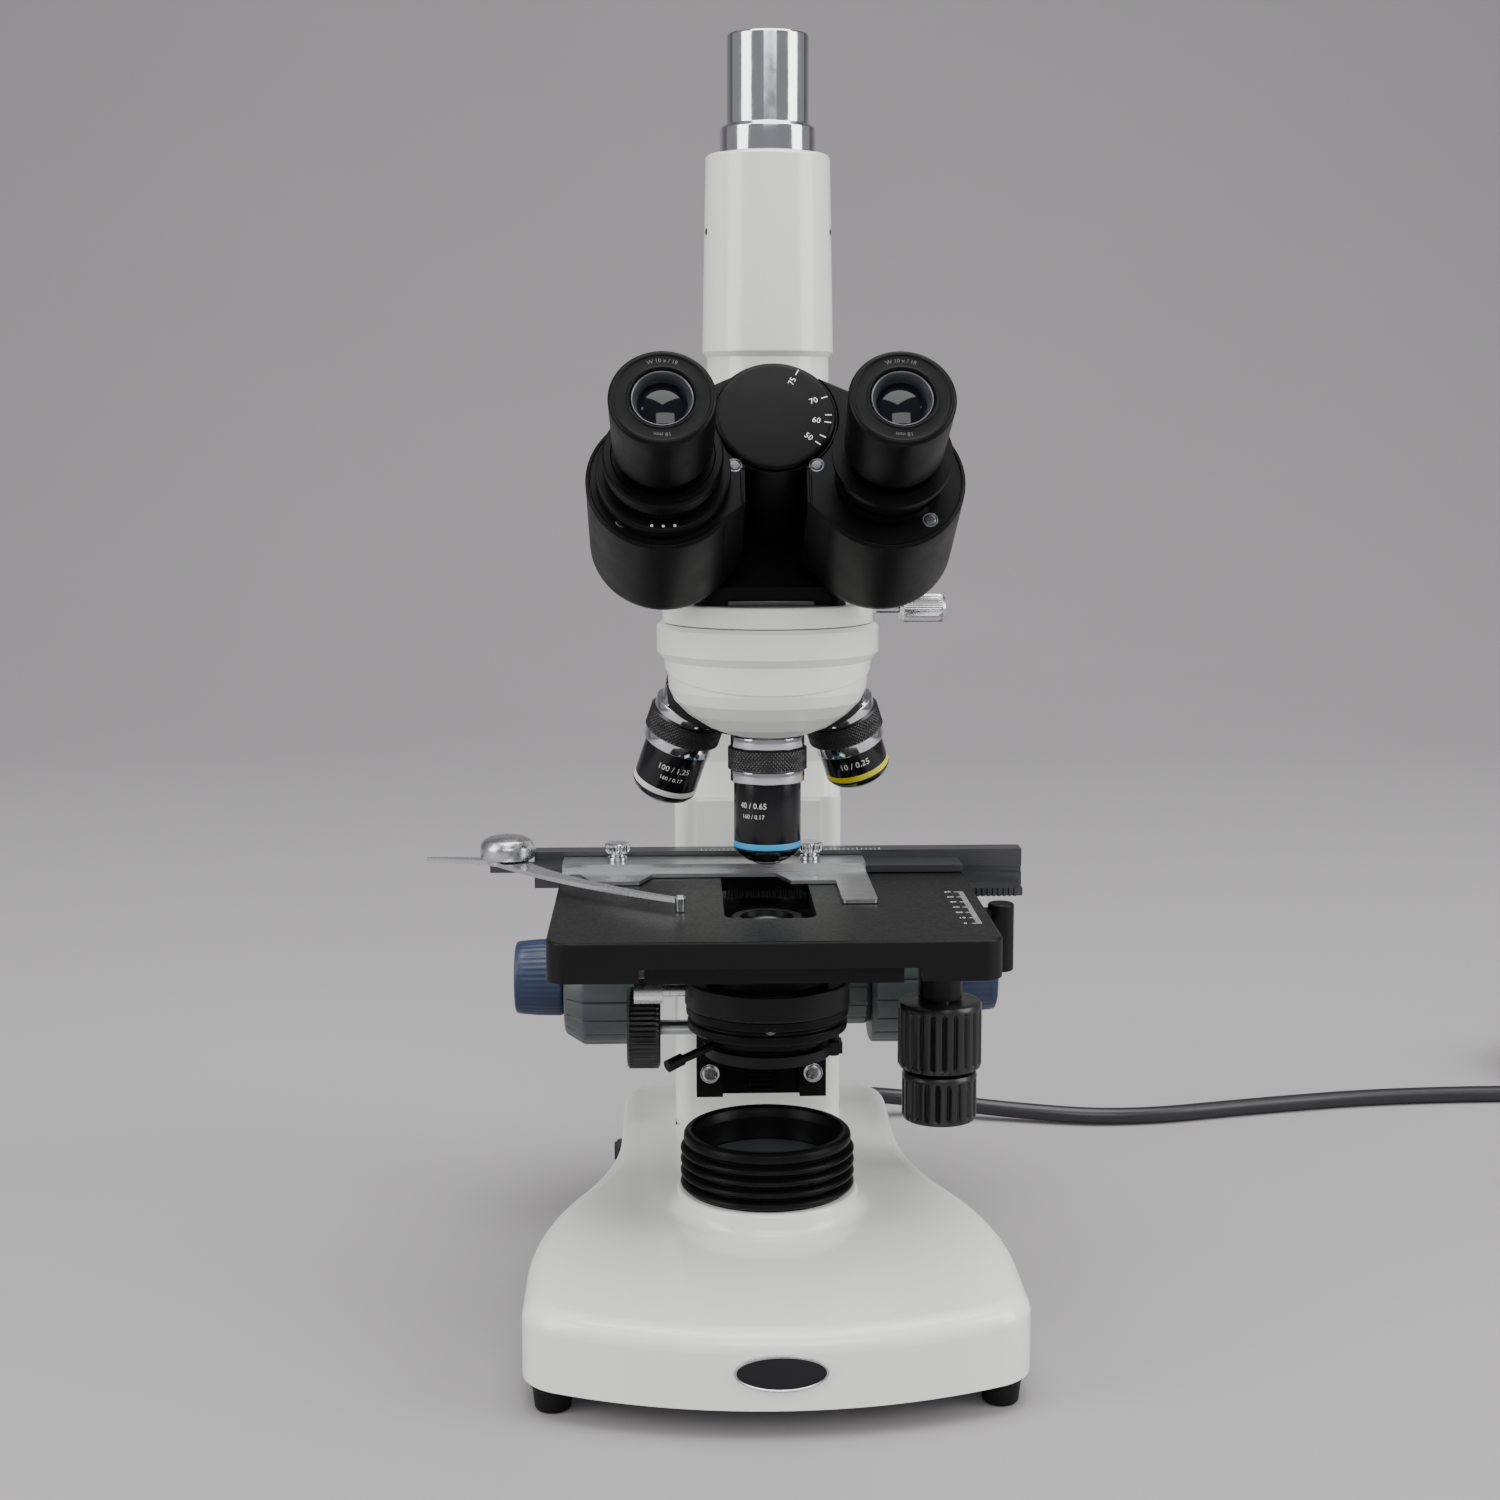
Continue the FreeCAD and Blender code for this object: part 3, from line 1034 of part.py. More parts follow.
def wing(side):
    """One prism wing: hollow casting that swings round the hub and carries an eyepiece tube."""
    blank = wing_outline(side)
    front = [e for e in blank.Edges if e.BoundBox.ZMin > -0.01 and e.CenterOfMass.x * side > 9.5]
    blank = softened(blank, 0.8, front)
    half = WING_DEPTH / 2
    if side < 0:
        other_ring = disc(HUB_RING_R + 0.5, -WING_DEPTH - 1, -half + 0.2)
    else:
        other_ring = disc(HUB_RING_R + 0.5, -half - 0.2, 1.0)
    x = side * TUBE_X
    riser = disc(15.2, -1, 5.0, x, TUBE_Q)
    if side > 0:
        riser = joined([riser, disc(14.4, 4.0, RING_TOP_H - 4.2, x, TUBE_Q), turned_at(x, TUBE_Q, [
            (13.0, RING_TOP_H - 7.5), (RING_R - 1.6, RING_TOP_H - 6.8), (RING_R, RING_TOP_H - 2.0),
            (RING_R, RING_TOP_H), (13.0, RING_TOP_H)])])
    else:
        riser = joined([riser, disc(12.8, 4.0, 12.4, x, TUBE_Q)])
    blank = joined([blank.cut(other_ring), riser])
    tube_bore = disc(TUBE_BORE_R, -6.0, RING_TOP_H + 2, x, TUBE_Q)
    cavity = disc(WING_R - 4.5, -WING_DEPTH + 9, -4.0, x, TUBE_Q)
    hub_bore = disc(HUB_BORE_R, -WING_DEPTH - 1, 1)
    seat = disc(HUB_DISC_R + 0.3, -2.4, 1.0)
    return placed(blank.cut([tube_bore, cavity, hub_bore, seat]), head_placement())


def turned_at(x, y, profile):
    """A solid of revolution moved sideways."""
    return placed(turned(profile), Placement(Vector(x, y, 0), Rotation()))


def hub_disc():
    """Front disc of the hub that carries the interpupillary scale."""
    cap = turned([(0, -2.4), (HUB_DISC_R, -2.4), (HUB_DISC_R, 1.2), (HUB_DISC_R - 0.6, 1.8), (0, 2.2)])
    return placed(cap.cut(disc(HUB_BORE_R, -5, -0.8)), head_placement())


def dioptre_ring():
    """Knurled dioptre ring on the left eyepiece tube."""
    ring = turned_at(-TUBE_X, TUBE_Q, [(12.87, 5.2), (15.4, 5.2), (15.4, 8.6), (RING_R - 0.4, 10.0), (RING_R, 11.4),
                                       (RING_R, RING_TOP_H), (12.87, RING_TOP_H)])
    return placed(ring, head_placement())


def eyepiece(side):
    """Wide-field eyepiece: visible barrel, plug-in sleeve and the recessed eye lens."""
    top = EYEPIECE_FACE_H
    low = RING_TOP_H + 5.4
    shape = turned_at(side * TUBE_X, TUBE_Q, [
        (8.0, 0.5), (EYEPIECE_BARREL_R, 0.5), (EYEPIECE_BARREL_R, low - 1.4), (12.9, low - 1.4), (12.9, low),
        (EYEPIECE_LOW_R, low), (EYEPIECE_R, top - 1.0), (EYEPIECE_R - 0.9, top), (9.4, top), (8.4, top - 1.0),
        (8.4, top - 2.4), (6.8, top - 3.0), (0, top - 3.0), (0, top - 9.0), (8.0, top - 9.0)])
    return placed(shape, head_placement())


def selector_rod():
    """Pull rod that shifts the beam splitter, with its knurled knob."""
    stem = rod(1.6, (8.0, 0, SELECTOR_Z), (42.0, 0, SELECTOR_Z))
    return joined([stem, knob_bar((41.0, 0, SELECTOR_Z), (55.0, 0, SELECTOR_Z), 4.3)])


def knob_bar(start, end, radius):
    """Short knurled bar with chamfered ends."""
    bar = rod(radius, start, end)
    return bar.makeChamfer(0.6, [e for e in bar.Edges if e.BoundBox.XLength < 0.01])


def trinocular_tube():
    """White tapered tube with its narrower neck, which stands on the housing behind the hub."""
    tube = turned([(TRI_BORE_R, NECK_BOTTOM), (NECK_R, NECK_BOTTOM), (NECK_R, TRI_BOTTOM),
                   (TRI_LOW_R - 1.2, TRI_BOTTOM), (TRI_LOW_R, TRI_BOTTOM + 1.6),
                   (TRI_HIGH_R, TRI_TOP - 0.8), (TRI_HIGH_R - 0.8, TRI_TOP), (TRI_BORE_R, TRI_TOP)])
    return tube.cut(room_for_wings())


def photo_tube():
    """Chromed photo tube with its shoulder ring and open bore for a camera adapter."""
    return turned([(PHOTO_BORE_R, TRI_TOP), (PHOTO_RING_R - 0.6, TRI_TOP), (PHOTO_RING_R, TRI_TOP + 0.6),
                   (PHOTO_RING_R, PHOTO_RING_TOP - 0.8), (PHOTO_RING_R - 0.8, PHOTO_RING_TOP),
                   (PHOTO_TUBE_R + 0.4, PHOTO_RING_TOP), (PHOTO_TUBE_R, PHOTO_TOP - 0.6),
                   (PHOTO_TUBE_R - 0.4, PHOTO_TOP), (PHOTO_BORE_R, PHOTO_TOP)])


# ---------------------------------------------------------------- all pieces

def pieces():
    """Every node name with its finished shape."""
    nodes = {
        "base_casting": base_casting(), "base_plate": base_plate(), "rubber_feet": rubber_feet(),
        "base_screws": base_screws(), "base_badge": base_badge(),
        "illuminator_collar": illuminator_collar(), "collector_lens": collector_lens(),
        "lamp_socket": lamp_socket(), "halogen_lamp": halogen_lamp(), "transformer": transformer(),
        "power_rocker": power_rocker(), "dimmer_wheel": dimmer_wheel(),
        "cord_gland": cord_gland(), "mains_cord": mains_cord(), "mains_cord_coil": mains_cord_coil(),
        "mains_plug": mains_plug(),
        "arm_casting": arm_casting(), "focus_guide": focus_guide(), "focus_carriage": focus_carriage(),
        "coarse_knob_left": coarse_knob_left(), "coarse_knob_right": coarse_knob_right(),
        "fine_knob_left": fine_knob_left(), "fine_knob_right": fine_knob_right(),
        "tension_collar": tension_collar(),
        "stage_lower_plate": stage_lower_plate(), "stage_top_plate": stage_top_plate(),
        "stage_side_post": stage_side_post(), "x_bar": x_bar(), "slide_holder": slide_holder(),
        "holder_screws": holder_screws(), "spring_arm": spring_arm(), "spring_knob": spring_knob(),
        "drive_sleeve": drive_sleeve(), "y_drive_knob": y_drive_knob(), "x_drive_knob": x_drive_knob(),
        "condenser_rail": condenser_rail(), "condenser_carrier": condenser_carrier(),
        "condenser_knob": condenser_knob(), "condenser_body": condenser_body(),
        "condenser_lens": condenser_lens(), "iris_lever": iris_lever(), "filter_holder": filter_holder(),
        "condenser_clamp_screw": condenser_clamp_screw(),
        "nosepiece_cover": nosepiece_cover(), "nosepiece_turret": nosepiece_turret(),
        "head_ring": head_ring(), "head_housing": head_housing(), "hub_disc": hub_disc(),
        "wing_left": wing(-1), "wing_right": wing(1), "dioptre_ring": dioptre_ring(),
        "eyepiece_left": eyepiece(-1), "eyepiece_right": eyepiece(1), "selector_rod": selector_rod(),
        "trinocular_tube": trinocular_tube(), "photo_tube": photo_tube(),
    }
    for name, (index, length) in OBJECTIVES.items():
        nodes[name] = placed(objective(length), objective_place(index))
    return nodes


def main():
    os.makedirs("parts", exist_ok=True)
    for name, shape in pieces().items():
        if not shape.isValid() or shape.Volume <= 0:
            print("check", name, shape.isValid(), round(shape.Volume, 1))
        shape.exportStep("parts/" + name + ".step")
        print(name, len(shape.Solids), "solids", round(shape.Volume / 1000, 2), "cm3")


main()
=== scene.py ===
"""Trinocular laboratory microscope: finishes, fine detail, mains cord, floor, lights and camera."""
import math

import bpy
import bmesh
import numpy as np
from mathutils import Matrix, Vector


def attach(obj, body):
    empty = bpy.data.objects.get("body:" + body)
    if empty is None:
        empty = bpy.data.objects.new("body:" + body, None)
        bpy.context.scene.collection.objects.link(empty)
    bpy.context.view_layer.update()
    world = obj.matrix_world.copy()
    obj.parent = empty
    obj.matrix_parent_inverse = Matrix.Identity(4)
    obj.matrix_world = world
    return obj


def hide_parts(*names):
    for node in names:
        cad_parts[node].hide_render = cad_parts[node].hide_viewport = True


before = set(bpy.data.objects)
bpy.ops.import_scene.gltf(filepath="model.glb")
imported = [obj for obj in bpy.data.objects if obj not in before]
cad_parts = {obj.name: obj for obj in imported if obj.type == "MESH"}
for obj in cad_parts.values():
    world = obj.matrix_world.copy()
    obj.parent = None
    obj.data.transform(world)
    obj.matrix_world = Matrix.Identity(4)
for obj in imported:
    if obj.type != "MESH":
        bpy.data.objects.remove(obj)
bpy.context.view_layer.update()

bl_info = {
    "name": "Laboratory Microscope",
    "version": (1, 0, 0),
    "blender": (4, 5, 0),
    "location": "View3D > Sidebar > Microscope",
    "description": "Finishes and fine pieces of a trinocular laboratory microscope on its packed frame",
    "category": "Object",
}

MM = 0.001
TURN = 2.0 * math.pi

# Head frame: Z runs out along the eyepiece tubes and Y climbs the front faces.
HEAD = Matrix.Translation((0.0, -0.0484, 0.2827)) @ Matrix.Rotation(math.radians(60.0), 4, "X")
TUBE_X = 31.8
TUBE_Q = -20.0
# Nosepiece frame: Z runs up the turret axis from its apex.
NOSE_TILT = math.radians(17.5)
NOSE = Matrix.Translation((0.0, 0.0, 0.262)) @ Matrix.Rotation(NOSE_TILT, 4, "X")
SEAT = 0.0775
PINION_Y = 5.2
PINION_X = 4.0
# Focus drive frame: Z runs out to the right along the shaft.
FOCUS = Matrix.Translation((0.0, 0.098, 0.0836)) @ Matrix.Rotation(math.radians(90.0), 4, "Y")
FOCUS_LEFT = Matrix.Translation((0.0, 0.098, 0.0836)) @ Matrix.Rotation(math.radians(-90.0), 4, "Y")
DRIVE = Matrix.Translation((0.059, 0.036, 0.0))
CONDENSER_DRIVE = Matrix.Translation((0.0, 0.042, 0.080)) @ Matrix.Rotation(math.radians(-90.0), 4, "Y")
CORD_ROUTE = [(20.0, 150.0, 20.0), (21.0, 169.5, 17.0), (31.0, 186.0, 13.0), (47.0, 195.5, 9.6),
              (69.0, 197.5, 6.9), (104.0, 188.5, 4.6), (150.0, 179.0, 3.4), (207.0, 194.0, 3.4),
              (268.0, 206.5, 3.4), (351.0, 207.0, 3.4)]


# ---------------------------------------------------------------- surfaces

def from_faces(name, verts, faces, at=None, crease=32.0):
    """A closed, outward-facing mesh object from vertices in millimetres; at places it in metres."""
    mesh = bpy.data.meshes.new(name)
    mesh.from_pydata(np.asarray(verts, float) * MM, [], np.asarray(faces).tolist())
    work = bmesh.new()
    work.from_mesh(mesh)
    bmesh.ops.remove_doubles(work, verts=work.verts, dist=2e-6)
    bmesh.ops.dissolve_degenerate(work, edges=work.edges, dist=1e-6)
    bmesh.ops.recalc_face_normals(work, faces=work.faces)
    work.to_mesh(mesh)
    work.free()
    if at is not None:
        mesh.transform(at)
    mesh.polygons.foreach_set("use_smooth", np.ones(len(mesh.polygons), bool))
    mesh.set_sharp_from_angle(angle=math.radians(crease))
    mesh.update()
    piece = bpy.data.objects.new(name, mesh)
    bpy.context.scene.collection.objects.link(piece)
    return piece


def grid_faces(rows, columns, close_u=False, close_v=False):
    """Vertex numbers of the cells of a rows by columns grid, joined round where it is closed."""
    u = np.arange(rows if close_u else rows - 1)
    v = np.arange(columns if close_v else columns - 1)
    uu, vv = np.meshgrid(u, v, indexing="ij")
    un, vn = (uu + 1) % rows, (vv + 1) % columns
    corners = np.stack([uu * columns + vv, uu * columns + vn, un * columns + vn, un * columns + vv], -1)
    return corners.reshape(-1, 4)


def softened(profile, radius=0.35, steps=3):
    """The profile with each inner corner swapped for a quadratic curve that starts radius before it
    and ends radius after it, or less beside a short run. It gives every edge a small highlight."""
    p = np.asarray(profile, float)
    t = np.linspace(0.0, 1.0, steps + 1)[:, None]
    out = [p[:1]]
    for before, here, after in zip(p, p[1:], p[2:]):
        a, b = before - here, after - here
        la, lb = np.hypot(*a), np.hypot(*b)
        if min(la, lb) < 1e-6:
            continue
        reach = min(radius, 0.45 * la, 0.45 * lb)
        start, end = here + a / la * reach, here + b / lb * reach
        out.append((1 - t) ** 2 * start + 2 * t * (1 - t) * here + t ** 2 * end)
    out.append(p[-1:])
    return np.concatenate(out)


def lathe(name, profile, at=None, turns=96, radius=0.35, wave=None, centre=(0.0, 0.0), crease=32.0):
    """A turned piece: (r cos a, r sin a, z) for a profile of (r, z) points in millimetres.
    wave(a, z) gives millimetres added to r, which makes flutes and knurls."""
    p = softened(profile, radius) if radius else np.asarray(profile, float)
    a = np.arange(turns) * TURN / turns
    r = np.repeat(p[:, :1], turns, 1)
    z = np.repeat(p[:, 1:], turns, 1)
    if wave is not None:
        r = np.where(r > 1e-6, r + wave(np.broadcast_to(a, r.shape), z), r)
    points = np.stack([centre[0] + r * np.cos(a), centre[1] + r * np.sin(a), z], -1)
    closed = bool(np.allclose(p[0], p[-1]))
    if closed:
        points = points[:-1]
    return from_faces(name, points.reshape(-1, 3), grid_faces(len(points), turns, closed, True), at, crease)


def fine_rows(profile, step):
    """The same profile with extra points along its long runs, so a wave can start and stop on them."""
    p = np.asarray(profile, float)
    out = [p[:1]]
    for a, b in zip(p, p[1:]):
        n = max(1, int(np.hypot(*(b - a)) / step))
        out.append(a + (b - a) * np.linspace(0, 1, n + 1)[1:, None])
    return np.concatenate(out)


def between(z, low, high, fade):
    """1 between low and high, falling smoothly to 0 over fade outside them."""
    return np.clip((z - low) / fade + 1, 0, 1) * np.clip((high - z) / fade + 1, 0, 1)


def flutes(count, depth, low, high, power=1.0, fade=0.5):
    """Lengthwise grooves: r falls by depth at the bottom of each cosine wave between two heights."""
    def wave(a, z):
        return -depth * (0.5 - 0.5 * np.cos(count * a)) ** power * between(z, low, high, fade)
    return wave


def diamond(count, pitch, depth, low, high):
    """A diamond knurl: two crossing sets of helical grooves; r falls by depth where either runs."""
    def wave(a, z):
        k = TURN / pitch
        one = np.abs(np.sin(0.5 * (count * a + k * z)))
        two = np.abs(np.sin(0.5 * (count * a - k * z)))
        return -depth * (1 - np.minimum(one, two)) * between(z, low, high, 0.3)
    return wave


def block(name, low, high, at=None, edge=0.4):
    """A bar between two corners with rounded edges: a bevelled six-sided solid."""
    (x0, y0, z0), (x1, y1, z1) = low, high
    verts = [(x, y, z) for x in (x0, x1) for y in (y0, y1) for z in (z0, z1)]
    faces = [(0, 1, 3, 2), (4, 6, 7, 5), (0, 4, 5, 1), (2, 3, 7, 6), (0, 2, 6, 4), (1, 5, 7, 3)]
    piece = from_faces(name, verts, faces, None, 60.0)
    work = bmesh.new()
    work.from_mesh(piece.data)
    bmesh.ops.bevel(work, geom=work.edges[:] + work.verts[:], offset=edge * MM, segments=3, affect="EDGES",
                    profile=0.5)
    work.to_mesh(piece.data)
    work.free()
    if at is not None:
        piece.data.transform(at)
    piece.data.polygons.foreach_set("use_smooth", np.ones(len(piece.data.polygons), bool))
    return piece


def merged(name, pieces):
    """Several mesh objects as one object, in the order given."""
    mesh = bpy.data.meshes.new(name)
    work = bmesh.new()
    for piece in pieces:
        work.from_mesh(piece.data)
    work.to_mesh(mesh)
    work.free()
    for piece in pieces:
        bpy.data.objects.remove(piece, do_unlink=True)
    whole = bpy.data.objects.new(name, mesh)
    bpy.context.scene.collection.objects.link(whole)
    return whole


def figures(name, words, size, place, turn=0.0, depth=0.04):
    """Raised figures of one line, centred at the origin, then bent by place((N, 3) in mm) to (N, 3)."""
    curve = bpy.data.curves.new(name, "FONT")
    curve.body = words
    curve.size = size
    curve.extrude = depth
    curve.align_x = "CENTER"
    curve.align_y = "CENTER"
    curve.resolution_u = 2
    maker = bpy.data.objects.new(name, curve)
    bpy.context.scene.collection.objects.link(maker)
    mesh = bpy.data.meshes.new_from_object(maker.evaluated_get(bpy.context.evaluated_depsgraph_get()))
    bpy.data.objects.remove(maker, do_unlink=True)
    co = np.empty(len(mesh.vertices) * 3)
    mesh.vertices.foreach_get("co", co)
    co = co.reshape(-1, 3)
    c, s = math.cos(turn), math.sin(turn)
    co = np.column_stack([co[:, 0] * c - co[:, 1] * s, co[:, 0] * s + co[:, 1] * c, co[:, 2]])
    mesh.vertices.foreach_set("co", (np.asarray(place(co)) * MM).ravel())
    mesh.update()
    piece = bpy.data.objects.new(name, mesh)
    bpy.context.scene.collection.objects.link(piece)
    return piece


def round_a_barrel(radius, angle, z0, flip=1.0):
    """Bends a flat drawing round a cylinder: x becomes angle, y becomes height, z becomes radius."""
    def place(co):
        a = angle + flip * co[:, 0] / radius
        r = radius + co[:, 2]
        return np.column_stack([r * np.cos(a), r * np.sin(a), z0 + flip * co[:, 1]])
    return place


def placed(piece, at):
    """Carries a finished mesh to its place."""
    piece.data.transform(at)
    return piece


def fitted(piece, body, finish, stands_for=()):
    """Gives a piece its finish, the body it rides on and the nodes it stands for."""
    piece.data.materials.clear()
    piece.data.materials.append(finish)
    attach(piece, body)
    if stands_for:
        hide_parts(*stands_for)
    return piece


# ---------------------------------------------------------------- finishes

def linear(colour):
    """An sRGB hex colour as linear red, green, blue and alpha."""
    parts = [int(colour.lstrip("#")[i:i + 2], 16) / 255.0 for i in (0, 2, 4)]
    return [c / 12.92 if c <= 0.04045 else ((c + 0.055) / 1.055) ** 2.4 for c in parts] + [1.0]


def add(tree, kind, links=None, **settings):
    """Adds a node, sets its properties and fills its inputs with values or other nodes' outputs."""
    made = tree.nodes.new(kind)
    for key, value in settings.items():
        setattr(made, key, value)
    for key, value in (links or {}).items():
        socket = made.inputs[key]
        if isinstance(value, bpy.types.NodeSocket):
            tree.links.new(value, socket)
        else:
            socket.default_value = value
    return made


def new_finish(name, **shader):
    """An empty node material with its shader; returns the material, its tree and the shader."""
    material = bpy.data.materials.get(name)
    if material is not None:
        return material, None, None
    material = bpy.data.materials.new(name)
    material.use_nodes = True
    tree = material.node_tree
    tree.nodes.clear()
    principled = add(tree, "ShaderNodeBsdfPrincipled", shader)
    output = add(tree, "ShaderNodeOutputMaterial")
    tree.links.new(principled.outputs[0], output.inputs[0])
    return material, tree, principled


def grain(tree, size_mm, detail=3.0, rough=0.6, squeeze=(1.0, 1.0, 1.0)):
    """Noise whose spots are size_mm across, on Object coordinates in metres."""
    place = add(tree, "ShaderNodeTexCoord")
    mapped = add(tree, "ShaderNodeMapping", {"Vector": place.outputs["Object"], "Scale": squeeze})
    return add(tree, "ShaderNodeTexNoise", {"Vector": mapped.outputs[0], "Scale": 1000.0 / size_mm,
                                            "Detail": detail, "Roughness": rough})


def ramp(tree, source, low, high):
    """Spreads a value between two numbers."""
    return add(tree, "ShaderNodeMapRange", {"Value": source, "From Min": 0.3, "From Max": 0.7,
                                            "To Min": low, "To Max": high}).outputs[0]


def tinted(tree, source, dark, pale):
    """Mixes two hex colours by a value."""
    mix = add(tree, "ShaderNodeMix", {"Factor": source}, data_type="RGBA")
    mix.inputs[6].default_value = linear(dark)
    mix.inputs[7].default_value = linear(pale)
    return mix.outputs[2]


def surfaced(tree, shader, source, height_mm, strength=1.0):
    """Bump of a real height from a value."""
    bump = add(tree, "ShaderNodeBump", {"Height": source, "Distance": height_mm * MM, "Strength": strength})
    tree.links.new(bump.outputs[0], shader.inputs["Normal"])


def stove_enamel():
    """Glossy white stove enamel on a casting: a faint orange peel about 1.6 mm across ripples the
    reflections, and slow colour drift keeps large faces from looking like plastic."""
    m, t, s = new_finish("white stove enamel", Metallic=0.0, IOR=1.5, Roughness=0.2)
    if t:
        s.inputs["Coat Weight"].default_value = 0.35
        s.inputs["Coat Roughness"].default_value = 0.06
        cloud = grain(t, 60.0, 2.0)
        t.links.new(tinted(t, cloud.outputs[0], "#f1f3ee", "#f9faf6"), s.inputs["Base Color"])
        t.links.new(ramp(t, grain(t, 18.0).outputs[0], 0.17, 0.27), s.inputs["Roughness"])
        surfaced(t, s, grain(t, 1.6, 1.0).outputs[0], 0.012, 0.5)
    return m


def satin_enamel():
    """Satin black baked enamel: a fine leathery grain about 0.25 mm across breaks the sheen into a
    soft grey, with a little handling polish in broad patches."""
    m, t, s = new_finish("satin black enamel", Metallic=0.0, IOR=1.22, Roughness=0.4)
    if t:
        t.links.new(tinted(t, grain(t, 25.0).outputs[0], "#070707", "#0c0c0c"), s.inputs["Base Color"])
        t.links.new(ramp(t, grain(t, 9.0).outputs[0], 0.33, 0.44), s.inputs["Roughness"])
        surfaced(t, s, grain(t, 0.3, 2.0).outputs[0], 0.012, 0.6)
    return m


def anodised_black():
    """Black anodised stage metal, bead blasted: very fine 0.2 mm sparkle under a satin sheen."""
    m, t, s = new_finish("black anodised metal", Metallic=0.0, IOR=1.3, Roughness=0.42)
    if t:
        t.links.new(tinted(t, grain(t, 30.0).outputs[0], "#090909", "#100f0f"), s.inputs["Base Color"])
        t.links.new(ramp(t, grain(t, 1.1).outputs[0], 0.36, 0.47), s.inputs["Roughness"])
        surfaced(t, s, grain(t, 0.25, 2.0).outputs[0], 0.008, 0.5)
    return m


def moulded(name, dark, pale, roughness):
    """Moulded ABS with a spark-eroded texture about 0.35 mm across, and faint flow marks."""
    m, t, s = new_finish(name, Metallic=0.0, IOR=1.53, Roughness=roughness)
    if t:
        t.links.new(tinted(t, grain(t, 14.0).outputs[0], dark, pale), s.inputs["Base Color"])
        t.links.new(ramp(t, grain(t, 5.0).outputs[0], roughness - 0.05, roughness + 0.06),
                    s.inputs["Roughness"])
        surfaced(t, s, grain(t, 0.4, 2.0).outputs[0], 0.02, 0.6)
    return m


def black_moulding():
    """Glossier black grips of the stage drive and the plug."""
    return moulded("moulded black plastic", "#0b0b0c", "#111112", 0.34)


def grey_moulding():
    """Cool mid-grey plastic of the coarse knobs."""
    return moulded("moulded grey plastic", "#454b4c", "#525859", 0.42)


def blue_moulding():
    """Slate-blue plastic of the fine knobs."""
    return moulded("moulded blue plastic", "#1c2a46", "#253655", 0.4)


def soft_rubber():
    """Black rubber: dull, with a dusty bloom in 3 mm patches."""
    m, t, s = new_finish("black rubber", Metallic=0.0, IOR=1.3, Roughness=0.6)
    if t:
        t.links.new(tinted(t, grain(t, 3.0).outputs[0], "#0b0b0c", "#141415"), s.inputs["Base Color"])
        surfaced(t, s, grain(t, 0.5).outputs[0], 0.02, 0.6)
    return m


def cord_jacket():
    """PVC jacket of the mains cord: semi-gloss black with slight lengthwise unevenness."""
    m, t, s = new_finish("black cord jacket", Metallic=0.0, IOR=1.53, Roughness=0.33)
    if t:
        t.links.new(tinted(t, grain(t, 8.0).outputs[0], "#1d1d1f", "#29292c"), s.inputs["Base Color"])
        surfaced(t, s, grain(t, 2.5, 1.0).outputs[0], 0.04, 0.5)
    return m


def chrome_plate():
    """Bright chrome: near mirror with faint wiping haze 6 mm across."""
    m, t, s = new_finish("bright chrome", Metallic=1.0, Roughness=0.08)
    if t:
        s.inputs["Base Color"].default_value = linear("#d9dadc")
        t.links.new(ramp(t, grain(t, 6.0).outputs[0], 0.06, 0.14), s.inputs["Roughness"])
    return m


def satin_chrome():
    """Satin-plated small metal: pale, with soft-edged reflections."""
    m, t, s = new_finish("satin chrome", Metallic=1.0, Roughness=0.24)
    if t:
        s.inputs["Base Color"].default_value = linear("#c9cacb")
        t.links.new(ramp(t, grain(t, 1.5, 3.0).outputs[0], 0.2, 0.32), s.inputs["Roughness"])
    return m


def brushed_steel():
    """Sheet steel brushed lengthwise: 0.15 mm scratches drawn out 40 times along X."""
    m, t, s = new_finish("brushed sheet steel", Metallic=1.0, Roughness=0.32)
    if t:
        lines = grain(t, 0.4, 3.0, 0.6, (0.03, 1.0, 1.0))
        t.links.new(tinted(t, lines.outputs[0], "#a9abab", "#c4c6c6"), s.inputs["Base Color"])
        t.links.new(ramp(t, lines.outputs[0], 0.24, 0.4), s.inputs["Roughness"])
        surfaced(t, s, lines.outputs[0], 0.006, 0.5)
    return m


def machined_grey():
    """Machined alloy with a dark wash: fine cutter lines along X."""
    m, t, s = new_finish("machined grey alloy", Metallic=0.9, Roughness=0.35)
    if t:
        lines = grain(t, 0.5, 3.0, 0.6, (0.05, 1.0, 1.0))
        t.links.new(tinted(t, lines.outputs[0], "#4b4c4e", "#626365"), s.inputs["Base Color"])
        surfaced(t, s, lines.outputs[0], 0.006, 0.5)
    return m


def turned_gunmetal():
    """Dark turned metal round the eye lenses: dull grey with a soft ring of light."""
    m, t, s = new_finish("dark turned metal", Metallic=0.85, Roughness=0.36)
    if t:
        t.links.new(tinted(t, grain(t, 2.0).outputs[0], "#55565a", "#6c6d70"), s.inputs["Base Color"])
    return m


def coated_lens():
    """Eye lens: almost black with a faint violet coating and a hard reflection."""
    m, t, s = new_finish("coated eye lens", Metallic=0.0, IOR=1.4, Roughness=0.06)
    if t:
        t.links.new(tinted(t, grain(t, 8.0).outputs[0], "#050509", "#0a0a14"), s.inputs["Base Color"])
    return m


def frosted_lens():
    """Ground field lens: milky grey-green glass with a fine 0.3 mm frosting."""
    m, t, s = new_finish("frosted field lens", Metallic=0.0, IOR=1.52, Roughness=0.3)
    if t:
        t.links.new(tinted(t, grain(t, 10.0).outputs[0], "#3a3f3f", "#4b5150"), s.inputs["Base Color"])
        s.inputs["Coat Weight"].default_value = 0.7
        s.inputs["Coat Roughness"].default_value = 0.05
        surfaced(t, s, grain(t, 0.3).outputs[0], 0.01, 0.5)
    return m


